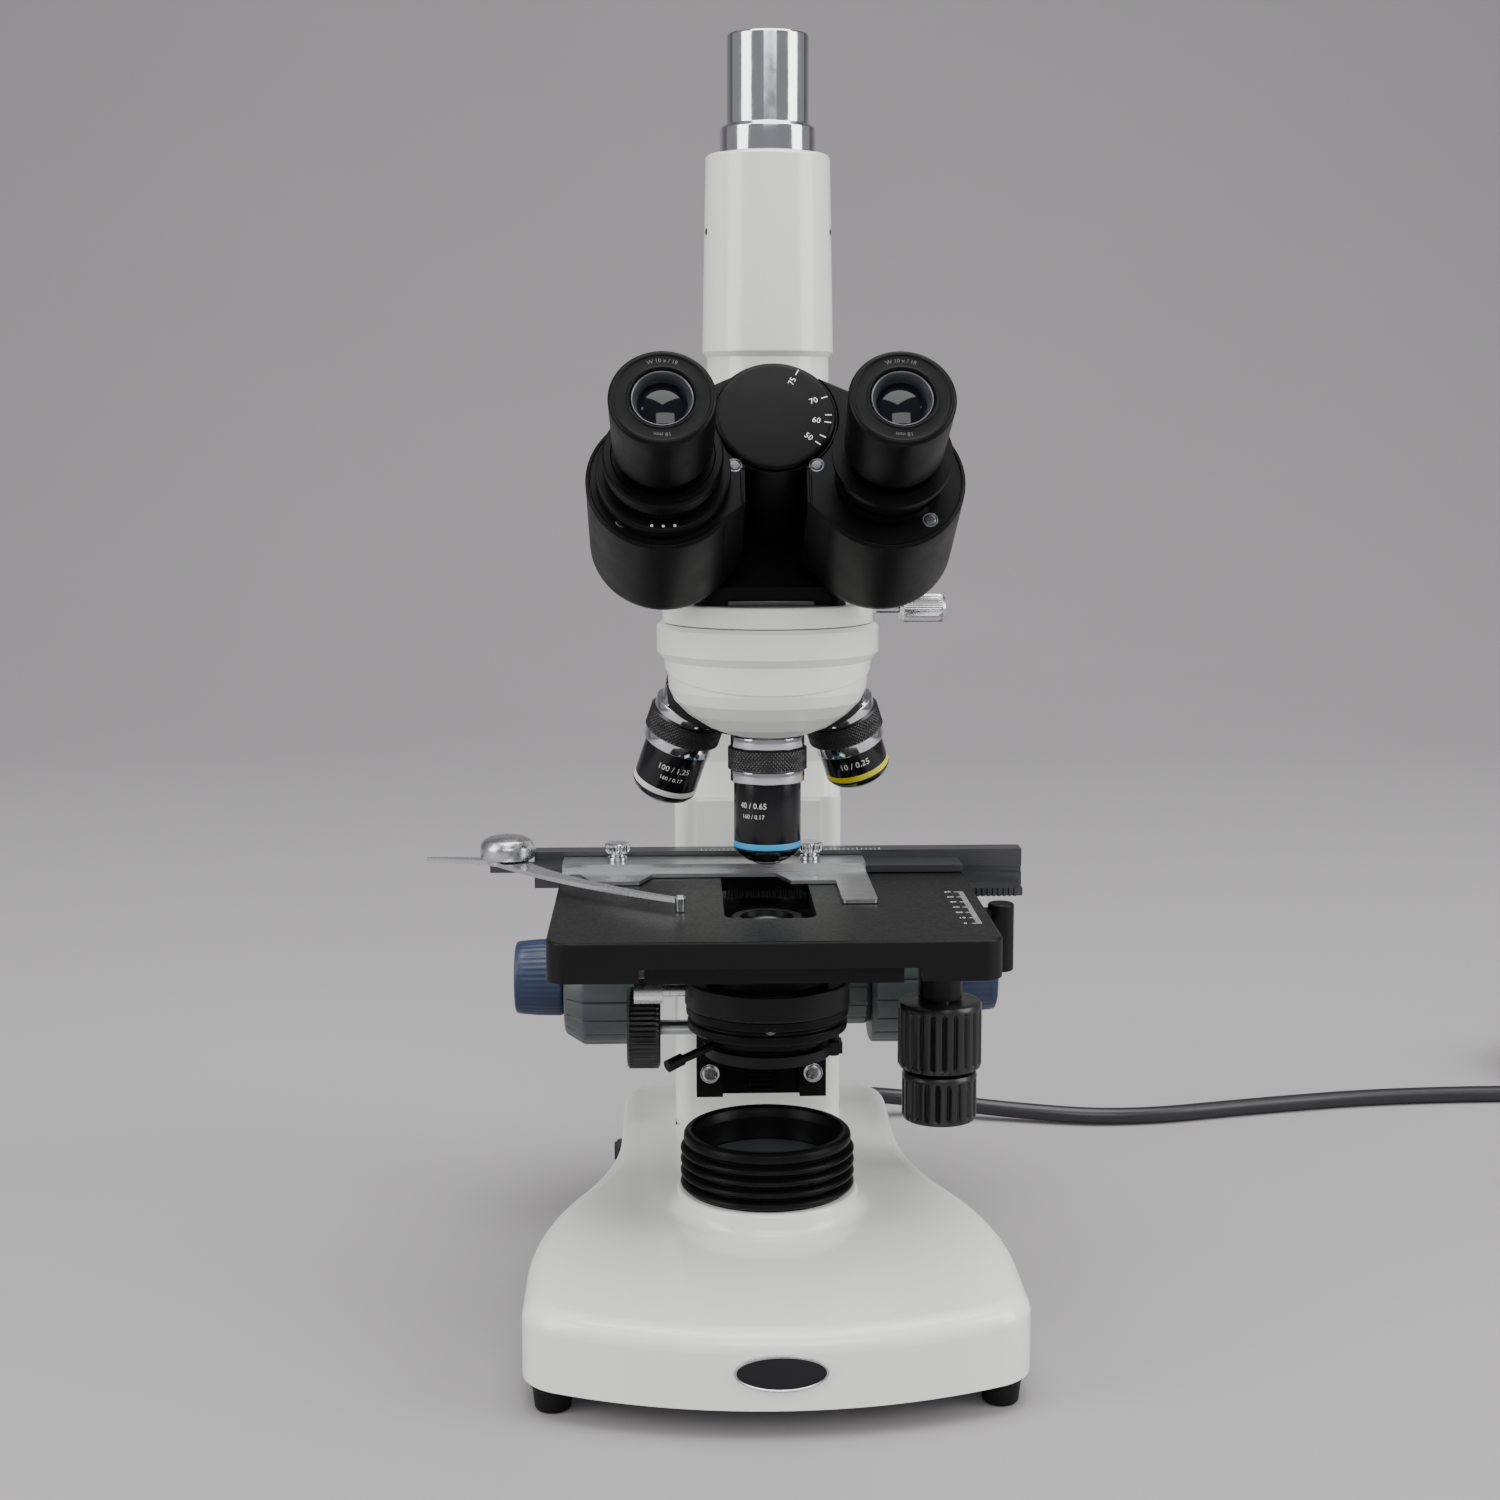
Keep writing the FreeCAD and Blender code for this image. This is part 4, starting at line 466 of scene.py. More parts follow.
def ink(name, colour):
    """Filled engraving or painted ring: flat paint with a slight unevenness."""
    m, t, s = new_finish(name, Metallic=0.0, IOR=1.5, Roughness=0.4)
    if t:
        light = "#" + "".join(f"{min(255, int(colour[i:i + 2], 16) + 12):02x}" for i in (1, 3, 5))
        t.links.new(tinted(t, grain(t, 2.0).outputs[0], colour, light), s.inputs["Base Color"])
    return m


def white_filling():
    """White paint in the engraved lines and figures."""
    return ink("white filling", "#dcdcd8")


def porcelain():
    """Unglazed lamp socket ceramic, chalky and pale."""
    m, t, s = new_finish("socket ceramic", Metallic=0.0, IOR=1.5, Roughness=0.7)
    if t:
        t.links.new(tinted(t, grain(t, 1.5).outputs[0], "#d8d2c4", "#e8e4da"), s.inputs["Base Color"])
        surfaced(t, s, grain(t, 0.5).outputs[0], 0.03, 0.6)
    return m


def lamp_glass():
    """Quartz lamp envelope: clear with a slight warm tint."""
    m, t, s = new_finish("quartz glass", Metallic=0.0, IOR=1.46, Roughness=0.05)
    if t:
        s.inputs["Transmission Weight"].default_value = 0.9
        t.links.new(tinted(t, grain(t, 4.0).outputs[0], "#e9eef0", "#f7fafa"), s.inputs["Base Color"])
    return m


def backdrop_paper():
    """Pale grey studio paper, even and matt."""
    m, t, s = new_finish("studio paper", Metallic=0.0, IOR=1.45, Roughness=0.75)
    if t:
        t.links.new(tinted(t, grain(t, 300.0).outputs[0], "#a3a0a2", "#a8a5a7"), s.inputs["Base Color"])
    return m


# ---------------------------------------------------------------- pieces: eyepieces and head

def tube_frame(side):
    """Frame of one eyepiece tube: the head frame moved to the tube's axis."""
    return HEAD @ Matrix.Translation((side * TUBE_X * MM, TUBE_Q * MM, 0.0))


def make_eyepiece(side, body, node):
    """Wide-field eyepiece: satin barrel with a stepped rim, dark metal mount and a domed eye lens."""
    at = tube_frame(side)
    shell = [(11.55, 0.6), (11.55, 18.9), (12.9, 19.0), (12.9, 20.3), (13.9, 20.4), (14.45, 43.6),
             (14.5, 44.4), (14.3, 45.1), (13.6, 45.5), (12.9, 45.5), (12.7, 45.2), (9.6, 45.2),
             (9.4, 45.5), (9.0, 45.5), (8.6, 44.9), (8.5, 41.8), (11.55, 41.0), (11.55, 0.6)]
    shell = shell[:-2] + [(8.5, 0.6), (11.55, 0.6)]
    fitted(lathe(node + "_barrel", shell, at, 128, 0.25), body, satin_enamel(), (node,))
    mount = [(8.48, 41.0), (8.48, 44.6), (8.2, 44.9), (7.9, 44.7), (7.3, 43.2), (7.0, 42.4), (6.7, 41.0),
             (8.48, 41.0)]
    fitted(lathe(node + "_lens_mount", mount, at, 96, 0.12), body, turned_gunmetal())
    t = np.linspace(0.0, 1.0, 9)
    lens = [(0.0, 40.2), (7.0, 40.2)] + [(7.0 * c, 41.2 + 1.6 * (1 - c * c)) for c in 1 - t[0:]]
    fitted(lathe(node + "_eye_lens", lens, at, 96, 0.0), body, coated_lens())
    ring = [figures(f"{node}_mark_{i}", word, 1.7, lambda co, a=angle: np.column_stack(
        [(11.2 + co[:, 1]) * np.sin(a + co[:, 0] / 11.2), (11.2 + co[:, 1]) * np.cos(a + co[:, 0] / 11.2),
         45.21 + co[:, 2]])) for i, (word, angle) in enumerate((("W 10 x / 18", 0.0), ("18 mm", math.pi)))]
    fitted(placed(merged(node + "_marks", ring), at), body,
           ink("dim grey filling", "#4c4c50"))


def make_tube_rings():
    """Knurled dioptre ring on the left tube, its three dots and the plain flange under it."""
    at = tube_frame(-1)
    ring = [(12.87, 5.2), (15.2, 5.2), (15.4, 5.6), (15.4, 8.6), (16.2, 9.6), (16.8, 10.4), (16.85, 14.2),
            (16.3, 15.0), (14.6, 15.0), (14.2, 14.4), (12.87, 14.4), (12.87, 5.2)]
    knurl = flutes(72, 0.34, 5.9, 9.0, 1.0, 0.3)
    fitted(lathe("dioptre_grip", fine_rows(ring, 0.5), at, 432, 0.0, knurl), "dioptre",
           satin_enamel(), ("dioptre_ring",))
    dots = [lathe(f"dot_{i}", [(0.0, 0.0), (0.42, 0.0), (0.42, 0.05), (0.0, 0.09)], Matrix.Translation(
        Vector((3.2 * (i - 1), -17.4 + 0.12 * abs(i - 1), 5.0)) * MM), 16, 0.0) for i in range(3)]
    base = [lathe("dial_flange", [(15.3, 0.01), (19.0, 0.01), (19.0, 4.6), (18.4, 5.0), (15.3, 5.0),
                                  (15.3, 0.01)],
                  None, 128, 0.3)]
    fitted(placed(merged("dioptre_dots", dots), at), "left_wing", white_filling())
    fitted(placed(merged("left_tube_flange", base), at), "left_wing", satin_enamel())


def wing_rim(side, inset, segments=24):
    """Outline of a wing's front face in the head frame: an outer arc round the tube, an inner straight
    side beside the gap, and tangent lines between them; inset moves it inwards."""
    r = 22.0 - inset
    reach = math.hypot(TUBE_X, TUBE_Q)
    lean = math.atan2(-TUBE_Q, TUBE_X) + math.asin(4.0 / reach)
    top = math.pi / 2 + lean
    low = math.atan2(-0.8, 0.6)
    a = np.linspace(top, TURN + low, segments)
    arc = np.column_stack([-TUBE_X + r * np.cos(a), TUBE_Q + r * np.sin(a)])
    corner = np.array([[-8.8 - inset, -28.0 - inset * 0.2], [-8.8 - inset, -16.6]])
    b = np.linspace(math.radians(242), top, 8)
    hub = np.column_stack([18.4 * np.cos(b), 18.4 * np.sin(b)])
    outline = np.concatenate([arc, corner, hub])
    if side > 0:
        outline = outline * [-1, 1]
        outline = outline[::-1]
    return outline


def rim_bead(name, side):
    """Raised bead that runs round a wing's front face: a 0.7 mm half-round carried along the outline."""
    line = wing_rim(side, 0.9, 40)[:43]
    if side > 0:
        line = wing_rim(side, 0.9, 40)[-43:]
    steps = np.linspace(0, 1, 4)[:-1]
    path = np.concatenate([line[:-1, None] * (1 - steps[:, None]) + line[1:, None] * steps[:,
                                                                                           None]]).reshape(-1, 2)
    path = np.concatenate([path, line[-1:]])
    tangent = np.gradient(path, axis=0)
    normal = np.stack([tangent[:, 1], -tangent[:, 0]], 1)
    normal /= np.hypot(*normal.T)[:, None]
    a = np.arange(10) * TURN / 10
    flat = path[:, None] + normal[:, None] * (0.42 * np.cos(a))[None, :, None]
    z = np.broadcast_to(0.05 + 0.34 * np.sin(a), flat.shape[:2])
    points = np.concatenate([flat, z[..., None]], -1)
    ends = [np.repeat(points[i].mean(0)[None, None], 10, 1) for i in (0, -1)]
    points = np.concatenate([ends[0], points, ends[1]])
    return from_faces(name, points.reshape(-1, 3), grid_faces(len(points), 10, False, True), HEAD, 60.0)


def slotted_screw(name, x, y, z, r=1.7, slot=True):
    """Recessed cheese-head screw seen in its counterbore; the slot is a real groove in the fan."""
    rim = lathe(name + "_rim", [(r, -0.3), (r + 0.55, -0.3), (r + 0.55, 0.02), (r + 0.35, 0.1), (r, 0.02),
                                (r, -0.3)], None, 40, 0.0)
    head = lathe(name + "_head", [(0.0, -0.4), (r, -0.4), (r, 0.1), (r * 0.75, 0.32), (0.0, 0.34)], None,
                 40, 0.1)
    parts = [rim, head]
    if slot:
        parts.append(block(name + "_slot", (-r * 0.86, -0.22, 0.2), (r * 0.86, 0.22, 0.37), None, 0.05))
    piece = merged(name, parts)
    return placed(piece, Matrix.Translation(Vector((x, y, z)) * MM))


def make_wing_details():
    """Raised rims, recessed screws and the hub dial of the head."""
    for side, body, node in ((-1, "left_wing", "wing_left"), (1, "right_wing", "wing_right")):
        fitted(rim_bead(node + "_rim", side), body, satin_enamel())
        screws = [slotted_screw(f"{node}_screw_{i}", side * x, y, 0.05) for i, (x, y) in
                  enumerate(((43.0, -33.0), (11.6, -15.5)))]
        fitted(placed(merged(node + "_screws", screws), HEAD), body, turned_gunmetal())
    dial = [(0.0, -2.4), (17.3, -2.4), (17.3, 1.0), (16.9, 1.6), (15.9, 1.9), (8.0, 2.12), (0.0, 2.2)]
    fitted(lathe("hub_dial", dial, HEAD, 128, 0.3), "left_wing", satin_enamel(),
           ("hub_disc",))
    marks = []
    for i, (value, angle) in enumerate(((75, 64.0), (70, 21.0), (65, -1.0), (60, -10.0), (55, -28.0),
                                        (50, -38.0))):
        a = math.radians(angle)
        tick = block(f"tick_{i}", (-0.95, -0.16, 0.0), (0.95, 0.16, 0.12), None, 0.03)
        marks.append(placed(tick, Matrix.Rotation(a, 4, "Z") @ Matrix.Translation(Vector((15.3, 0.0,
                                                                                          1.86)) * MM)))
        if value in (75, 70, 60, 50):
            marks.append(figures(f"value_{i}", str(value), 2.5, lambda co, a=a: np.column_stack(
                [12.0 * math.cos(a) + co[:, 0] * math.cos(a) - co[:, 1] * math.sin(a),
                 12.0 * math.sin(a) + co[:, 0] * math.sin(a) + co[:, 1] * math.cos(a), 2.02 + co[:, 2]])))
    fitted(placed(merged("hub_scale", marks), HEAD), "left_wing", white_filling())


def make_head_fittings():
    """Front lip under the gap, set screws on the neck and the pull knob."""
    # Painted highlight: the real lip is the black flange's front edge catching light, so this lip is given grey
    # machined metal to paint that highlight along the edge.
    lip = block("head_lip", (-13.0, -26.0, 226.7), (13.0, -24.1, 228.4), None, 0.4)
    fitted(lip, "head", machined_grey())
    grips = flutes(36, 0.3, 42.4, 53.8, 1.0, 0.4)
    knob = [(0.0, 41.0), (3.2, 41.0), (3.7, 41.6), (4.3, 42.2), (4.3, 54.2), (3.7, 55.0), (0.0, 55.0)]
    at = Matrix.Translation((0.0, 0.0, 0.2239)) @ Matrix.Rotation(math.radians(90.0), 4, "Y")
    stem = [(0.0, 8.0), (1.6, 8.0), (1.6, 41.4), (0.0, 41.4)]
    parts = [lathe("pull_knob_grip", fine_rows(knob, 0.8), at, 216, 0.0, grips),
             lathe("pull_stem", stem, at, 32, 0.1)]
    fitted(merged("pull_knob", parts), "selector", satin_chrome(), ("selector_rod",))
    screws = []
    for i, x in enumerate((-1, 1)):
        aim = Matrix.Rotation(math.radians(x * 76.0), 4, "Z") @ Matrix.Translation((0.0, -0.0187,
                                                                                    0.3385)) @ Matrix.Rotation(math.radians(90.0), 4, "X")
        screws.append(placed(slotted_screw(f"neck_screw_{i}", 0.0, 0.0, 0.4, 1.3, True), aim))
    fitted(merged("neck_set_screws", screws), "head", turned_gunmetal())


def make_photo_tube():
    """Chromed photo tube with its shoulder ring; the bore is open and black inside."""
    tube = [(11.6, 361.6), (13.9, 361.6), (14.5, 362.2), (14.5, 369.5), (13.7, 370.3), (12.9, 370.3),
            (12.5, 370.8),
            (12.5, 396.9), (12.1, 397.5), (11.8, 397.5), (11.6, 397.2), (11.6, 361.6)]
    fitted(lathe("photo_tube_shell", tube, None, 128, 0.15), "head", chrome_plate(),
           ("photo_tube",))
    liner = [(11.62, 396.8), (11.5, 396.8), (11.5, 361.8), (11.62, 361.8), (11.62, 396.8)]
    fitted(lathe("photo_tube_liner", liner, None, 96, 0.0), "head", satin_enamel())


# ---------------------------------------------------------------- pieces: nosepiece

def objective_frame(index):
    """Frame of one objective: Z runs out of its seat towards the specimen."""
    azimuth = math.radians(-90 + 90 * index)
    out = Vector((math.sin(NOSE_TILT) * math.cos(azimuth), math.sin(NOSE_TILT) * math.sin(azimuth),
                  -math.cos(NOSE_TILT)))
    turn = Vector((0, 0, 1)).rotation_difference(out).to_matrix().to_4x4()
    return NOSE @ Matrix.Translation(out * SEAT) @ turn


def make_objective(node, index, length, colour, words, facing):
    """Objective: chrome seat ring, diamond-knurled grip, gloss black barrel, colour ring, domed tip."""
    at = objective_frame(index)
    body = length - 5.0
    seat = [(6.0, -4.0), (10.1, -4.0), (10.1, 0.0), (11.5, 0.1), (11.5, 3.5), (9.0, 3.5), (9.0, 6.0),
            (6.0, 6.0), (6.0, -4.0)]
    collar = [(10.0, 10.6), (11.6, 10.6), (11.6, 14.2), (11.2, 14.5), (10.0, 14.5), (10.0, 10.6)]
    chrome = merged(node + "_rings", [lathe(node + "_seat", seat, at, 96, 0.2),
                                      lathe(node + "_collar", collar, at, 96, 0.2)])
    fitted(chrome, "turret", chrome_plate(), (node,))
    grip = fine_rows([(9.0, 3.45), (11.9, 3.45), (12.35, 3.8), (12.35, 10.3), (11.9, 10.65), (9.0, 10.65),
                      (9.0, 3.45)], 0.35)
    fitted(lathe(node + "_grip", grip, at, 480, 0.0, diamond(60, 1.3, 0.3, 4.1, 10.0)), "turret",
           black_moulding())
    barrel = [(8.0, 14.3), (10.5, 14.3), (10.5, body - 2.6), (10.35, body - 2.5), (10.35, body - 0.5),
              (10.5, body - 0.4),
              (10.5, body), (9.5, body + 1.6), (6.5, length - 1.4), (5.9, length - 1.2),
              (4.9, length - 1.1),
              (4.9, length - 3.0), (8.0, 14.3)]
    fitted(lathe(node + "_barrel", barrel, at, 128, 0.25), "turret", gloss_lacquer())
    ring = [(10.3, body - 2.45), (10.47, body - 2.45), (10.55, body - 2.2), (10.55, body - 0.8),
            (10.47, body - 0.55), (10.3, body - 0.55), (10.3, body - 2.45)]
    fitted(lathe(node + "_colour_ring", ring, at, 128, 0.1), "turret",
           ink("ring " + colour[0], colour[1]))
    nose = [(4.85, length - 3.0), (4.85, length - 0.7), (4.0, length - 0.2), (3.4, length), (2.7, length),
            (2.2, length - 0.7), (2.0, length - 1.6), (4.85, length - 3.0)]
    fitted(lathe(node + "_tip", nose, at, 72, 0.15), "turret", chrome_plate())
    front = [(0.0, length - 1.9), (2.1, length - 1.9), (2.1, length - 1.5), (1.2, length - 1.2),
             (0.0, length - 1.1)]
    fitted(lathe(node + "_front_lens", front, at, 48, 0.0), "turret", coated_lens())
    a = math.radians(facing)
    lines = []
    for i, (word, size) in enumerate(words):
        z = 17.6 + i * 3.4 + (body - 21.5) * 0.25
        if z < body - 3.8:
            lines.append(figures(f"{node}_line_{i}", word, size, round_a_barrel(10.5, a, z, -1.0)))
    if lines:
        fitted(placed(merged(node + "_figures", lines), at), "turret", white_filling())


def gloss_lacquer():
    """Gloss black lacquer of the objective barrels: deep, with crisp window-like highlights."""
    m, t, s = new_finish("gloss black lacquer", Metallic=0.0, IOR=1.35, Roughness=0.2)
    if t:
        t.links.new(tinted(t, grain(t, 12.0).outputs[0], "#0b0b0d", "#131316"), s.inputs["Base Color"])
        s.inputs["Coat Weight"].default_value = 0.25
        s.inputs["Coat Roughness"].default_value = 0.08
        surfaced(t, s, grain(t, 0.8, 1.0).outputs[0], 0.004, 0.4)
    return m


def make_objectives():
    """The four objectives on the turret."""
    make_objective("objective_40x", 0, 40.5, ("blue", "#2d9bd6", "blue_plastic"),
                   (("40 / 0.65", 2.6), ("160 / 0.17", 1.9)), 118.0)
    make_objective("objective_10x", 1, 29.5, ("yellow", "#cfc41c", None),
                   (("10 / 0.25", 2.9), ("160 / 0.17", 1.9)), 270.0)
    make_objective("objective_100x", 3, 35.0, ("white", "#d6d6d2", "white_enamel"),
                   (("100 / 1.25", 2.7), ("160 / 0.17", 1.9)), 270.0)
    make_objective("objective_4x", 2, 22.0, ("red", "#b42a24", None), (("4 / 0.10", 2.4),), 270.0)


# ---------------------------------------------------------------- pieces: stage

def make_stage_markings():
    """White vernier lines and figures on the right of the stage top, and on the cross bar."""
    top = 132.62
    marks = []
    for i in range(31):
        long = 3.0 if i % 5 == 0 else 1.7
        y = -38.0 + i * 1.5
        marks.append(block(f"y_line_{i}", (62.6 - long, y - 0.13, top - 0.02),
                           (62.6, y + 0.13, top + 0.05), None, 0.02))
        if i % 5 == 0:
            marks.append(figures(f"y_value_{i}", str(i * 2), 2.2, lambda co, y=y: np.column_stack(
                [57.6 - co[:, 1] * 0 + co[:, 0], y + co[:, 1], top + 0.03 + co[:, 2] * 0.5])))
    fitted(merged("stage_scale", marks), "stage_top", white_filling())
    bar = []
    for i in range(41):
        long = 3.2 if i % 5 == 0 else 1.9
        x = -20.0 + i * 1.5
        bar.append(block(f"x_line_{i}", (x - 0.13, 51.6, 138.0), (x + 0.13, 51.6 + long, 138.05), None,
                         0.02))
    fitted(merged("cross_bar_scale", bar), "cross_bar", white_filling())


def make_holder_hardware():
    """Thumb screws with slender domed heads and the domed pivot knob."""
    screws = []
    for i, x in enumerate((-48.0, 16.0)):
        at = Matrix.Translation(Vector((x, 44.0, 0.0)) * MM)
        profile = [(0.0, 136.4), (3.0, 136.4), (3.2, 136.6), (3.2, 137.6), (2.6, 138.0), (2.6, 138.6),
                   (3.9, 139.2),
                   (4.2, 139.8), (4.2, 142.0), (3.4, 142.4), (1.5, 142.4), (0.0, 142.4)]
        screws.append(lathe(f"holder_screw_{i}", fine_rows(profile, 0.4), at, 160, 0.0,
                            flutes(20, 0.35, 139.6, 141.8, 1.0, 0.3)))
    fitted(merged("holder_thumb_screws", screws), "cross_bar", chrome_plate(), ("holder_screws",))
    knob = [(0.0, 135.2), (2.2, 135.2), (2.2, 137.2), (8.2, 137.2), (8.8, 137.6), (9.0, 138.4),
            (9.0, 140.8),
            (8.8, 141.8), (7.6, 143.6), (5.4, 144.5), (2.6, 144.9), (0.0, 145.0)]
    at = Matrix.Translation((-0.0845, 0.045, 0.0))
    fitted(lathe("pivot_knob", knob, at, 128, 0.5), "cross_bar", satin_chrome(), ("spring_knob",))


def teeth(count, depth, low, high):
    """Gear teeth: r falls by depth between flat-topped teeth."""
    def wave(a, z):
        return -depth * np.clip(0.5 - 1.6 * np.cos(count * a), 0.0, 1.0) * between(z, low, high, 0.1)
    return wave


def make_spindle(name, at, body, bore, radius, low, high, pinion=None):
    """Ground steel shaft, hollow where bore isn't 0, with its pinion (radius, low, high, count, depth)."""
    shaft = [(bore, low), (radius, low), (radius, high), (bore, high)] + ([(bore, low)] if bore else [])
    parts = [lathe(name + "_shaft", shaft, at, 64, 0.2)]
    if pinion:
        tip, start, end, count, depth = pinion
        gear = [(radius - 0.2, start), (tip, start), (tip, end), (radius - 0.2, end), (radius - 0.2, start)]
        parts.append(lathe(name + "_pinion", gear, at, count * 16, 0.0, teeth(count, depth, start, end)))
    fitted(merged(name, parts), body, brushed_steel())


def make_drive_knobs():
    """Fluted coaxial grips of the stage drive with their shafts and pinions."""
    for name, node, body, low, high, radius, bore, count in (
            ("stage_to_and_fro_grip", "y_drive_knob", "y_drive", 67.5, 90.4, 14.0, 2.7, 22),
            ("stage_cross_grip", "x_drive_knob", "x_drive", 49.8, 66.6, 12.5, 0.0, 20)):
        profile = [(bore, low), (radius - 1.9, low), (radius - 0.6, low + 0.4), (radius, low + 1.6),
                   (radius, high - 1.4), (radius - 0.5, high - 0.4), (radius - 1.6, high), (bore, high)]
        profile += [(bore, low)] if bore else []
        wave = flutes(count, 1.25, low + 2.2, high - 3.2, 3.0, 0.9)
        fitted(lathe(name, fine_rows(profile, 0.8), DRIVE, 480, 0.0, wave), body,
               black_moulding(), (node,))
    make_spindle("to_and_fro_spindle", DRIVE, "y_drive", 2.6, 4.0, 68.0, 119.0,
                 (PINION_Y, 113.4, 118.0, 14, 1.1))
    make_spindle("cross_spindle", DRIVE, "x_drive", 0.0, 2.5, 60.0, 126.4,
                 (PINION_X, 123.8, 126.4, 11, 1.0))


# ---------------------------------------------------------------- pieces: focus drive

def facets(count, depth, low, high):
    """Broad flats between narrow grooves: r falls along each flat's chord and again in each groove."""
    def wave(a, z):
        phase = np.mod(count * a / TURN + 0.5, 1.0) - 0.5
        groove = np.exp(-(np.abs(np.abs(phase) - 0.5) / 0.035) ** 2)
        return -(0.25 * phase ** 2 * 4 + depth * groove) * between(z, low, high, 0.6)
    return wave


def make_focus_knobs():
    """Grey coarse knobs with broad ribs and a bevelled outer edge, and waisted blue fine knobs."""
    coarse = [(5.9, 40.4), (22.8, 40.4), (23.6, 40.8), (24.0, 41.6), (24.0, 60.8), (23.8, 61.6),
              (20.2, 67.4),
              (19.6, 67.9), (18.9, 68.2), (5.9, 68.2), (5.9, 40.4)]
    fine = [(3.05, 68.7), (12.4, 68.7), (13.3, 69.0), (13.7, 69.8), (13.5, 78.0), (12.9, 84.4),
            (12.5, 85.5), (11.3, 86.0), (3.05, 86.0), (3.05, 68.7)]
    cap = [(0.0, 84.6), (3.1, 84.6), (3.1, 85.9), (2.4, 86.1), (0.0, 86.1)]
    for at, tag, coarse_node, fine_node in ((FOCUS, "right", "coarse_knob_right", "fine_knob_right"),
                                            (FOCUS_LEFT, "left", "coarse_knob_left", "fine_knob_left")):
        wheel = lathe(f"coarse_grip_{tag}", fine_rows(coarse, 1.0), at, 360, 0.0,
                      facets(20, 0.7, 42.0, 66.5))
        fitted(wheel, "coarse_drive", grey_moulding(), (coarse_node,))
        pair = [lathe(f"fine_skin_{tag}", fine_rows(fine, 1.0), at, 240, 0.0,
                      flutes(40, 0.22, 69.8, 83.0, 0.8)),
                lathe(f"fine_cap_{tag}", cap, at, 48, 0.2)]
        fitted(merged(f"fine_grip_{tag}", pair), "fine_drive", blue_moulding(),
               (fine_node,))
    make_spindle("coarse_spindle", FOCUS, "coarse_drive", 3.1, 6.0, -64.2, 64.2, (8.1, -4.0, 4.0, 16, 1.6))
    make_spindle("fine_spindle", FOCUS, "fine_drive", 0.0, 2.98, -84.8, 84.8)


def make_condenser():
    """Condenser barrel rings, cone and lens, its screw, the knurled height knob with its spindle, and the rail
    screws.
    """
    ring = [(14.0, 91.4), (24.2, 91.4), (25.0, 91.8), (25.2, 92.4), (25.2, 94.4), (24.2, 94.9),
            (24.2, 95.7), (25.2, 96.1),
            (25.6, 96.6), (25.6, 99.0), (19.6, 99.0), (19.6, 110.0), (18.5, 112.0), (13.0, 121.0),
            (11.6, 121.8), (11.6, 126.4),
            (11.0, 127.0), (8.4, 127.0), (7.4, 124.0), (7.4, 121.5), (6.6, 121.5), (6.6, 119.0),
            (14.0, 108.0), (14.0, 91.4)]
    fitted(lathe("condenser_barrel", ring, None, 160, 0.35), "condenser", satin_enamel(),
           ("condenser_body",))
    lens = [(0.0, 121.5), (7.3, 121.5), (7.3, 124.4), (6.6, 125.0), (5.4, 125.6), (4.0, 126.2),
            (2.0, 126.6), (0.0, 126.8)]
    fitted(lathe("condenser_front_lens", lens, None, 96, 0.2), "condenser", frosted_lens(),
           ("condenser_lens",))
    at = CONDENSER_DRIVE
    knob = [(2.0, 34.0), (12.6, 34.0), (13.5, 34.6), (13.5, 44.2), (12.6, 45.0), (2.0, 45.0), (2.0, 34.0)]
    fitted(lathe("condenser_height_grip", fine_rows(knob, 0.8), at, 360, 0.0,
                 flutes(48, 0.5, 35.2, 43.8, 1.0)),
           "condenser_drive", black_moulding(), ("condenser_knob",))
    make_spindle("condenser_spindle", at, "condenser_drive", 0.0, 2.5, -4.0, 44.0,
                 (4.5, -3.5, 3.5, 12, 1.1))
    small = Matrix.Translation((0.0, -0.0252, 0.0975)) @ Matrix.Rotation(math.radians(90.0), 4, "X")
    fitted(placed(slotted_screw("condenser_screw_head", 0.0, 0.0, 0.0, 1.5), small), "condenser",
           turned_gunmetal())
    rail = [placed(slotted_screw(f"rail_screw_{i}", 0.0, 0.0, 0.0, 2.7),
                   Matrix.Translation((x * MM, 0.0464, 0.0625)) @
                   Matrix.Rotation(math.radians(35.0 - 80.0 * i), 4,
                                   "Y") @ Matrix.Rotation(math.radians(90.0), 4, "X"))
            for i, x in enumerate((-17.4, 17.4))]
    fitted(merged("rail_screws", rail), "carriage", satin_chrome())


# ---------------------------------------------------------------- pieces: base

def make_illuminator():
    """Black collar with four rounded ribs, the dished mouth and the ground field lens."""
    profile = [(21.0, 40.0), (26.0, 40.0)]
    for i in range(4):
        z = 40.0 + i * 3.6
        t = np.linspace(-0.5, 0.5, 9)
        profile += [(25.3 + 2.3 * math.cos(math.pi * v) ** 0.7, z + 1.8 + 3.3 * v) for v in t]
    profile += [(25.6, 54.6), (26.4, 55.2), (26.6, 56.4), (26.3, 57.6), (25.4, 58.4), (24.0, 58.4),
                (23.2, 57.8),
                (22.6, 56.4), (22.2, 55.0), (22.2, 46.5), (17.0, 46.5), (17.0, 44.5), (21.0, 43.5),
                (21.0, 40.0)]
    fitted(lathe("illuminator_rim", profile, None, 160, 0.2), "base", satin_enamel(),
           ("illuminator_collar",))
    t = np.linspace(0, 1, 12)
    lens = [(0.0, 46.5), (22.0, 46.5), (22.0, 47.6)] + [(21.4 * (1 - v),
                                                         47.9 + 1.1 * (1 - (1 - v) ** 2)) for v in t]
    fitted(lathe("field_lens", lens, None, 128, 0.15), "base", frosted_lens(), ("collector_lens",))


def base_front(x):
    """Depth of the curved front of the base at x, in millimetres."""
    radius = (73.5 ** 2 + 19.0 ** 2) / 38.0
    return -98.0 + radius - np.sqrt(radius ** 2 - np.asarray(x) ** 2)


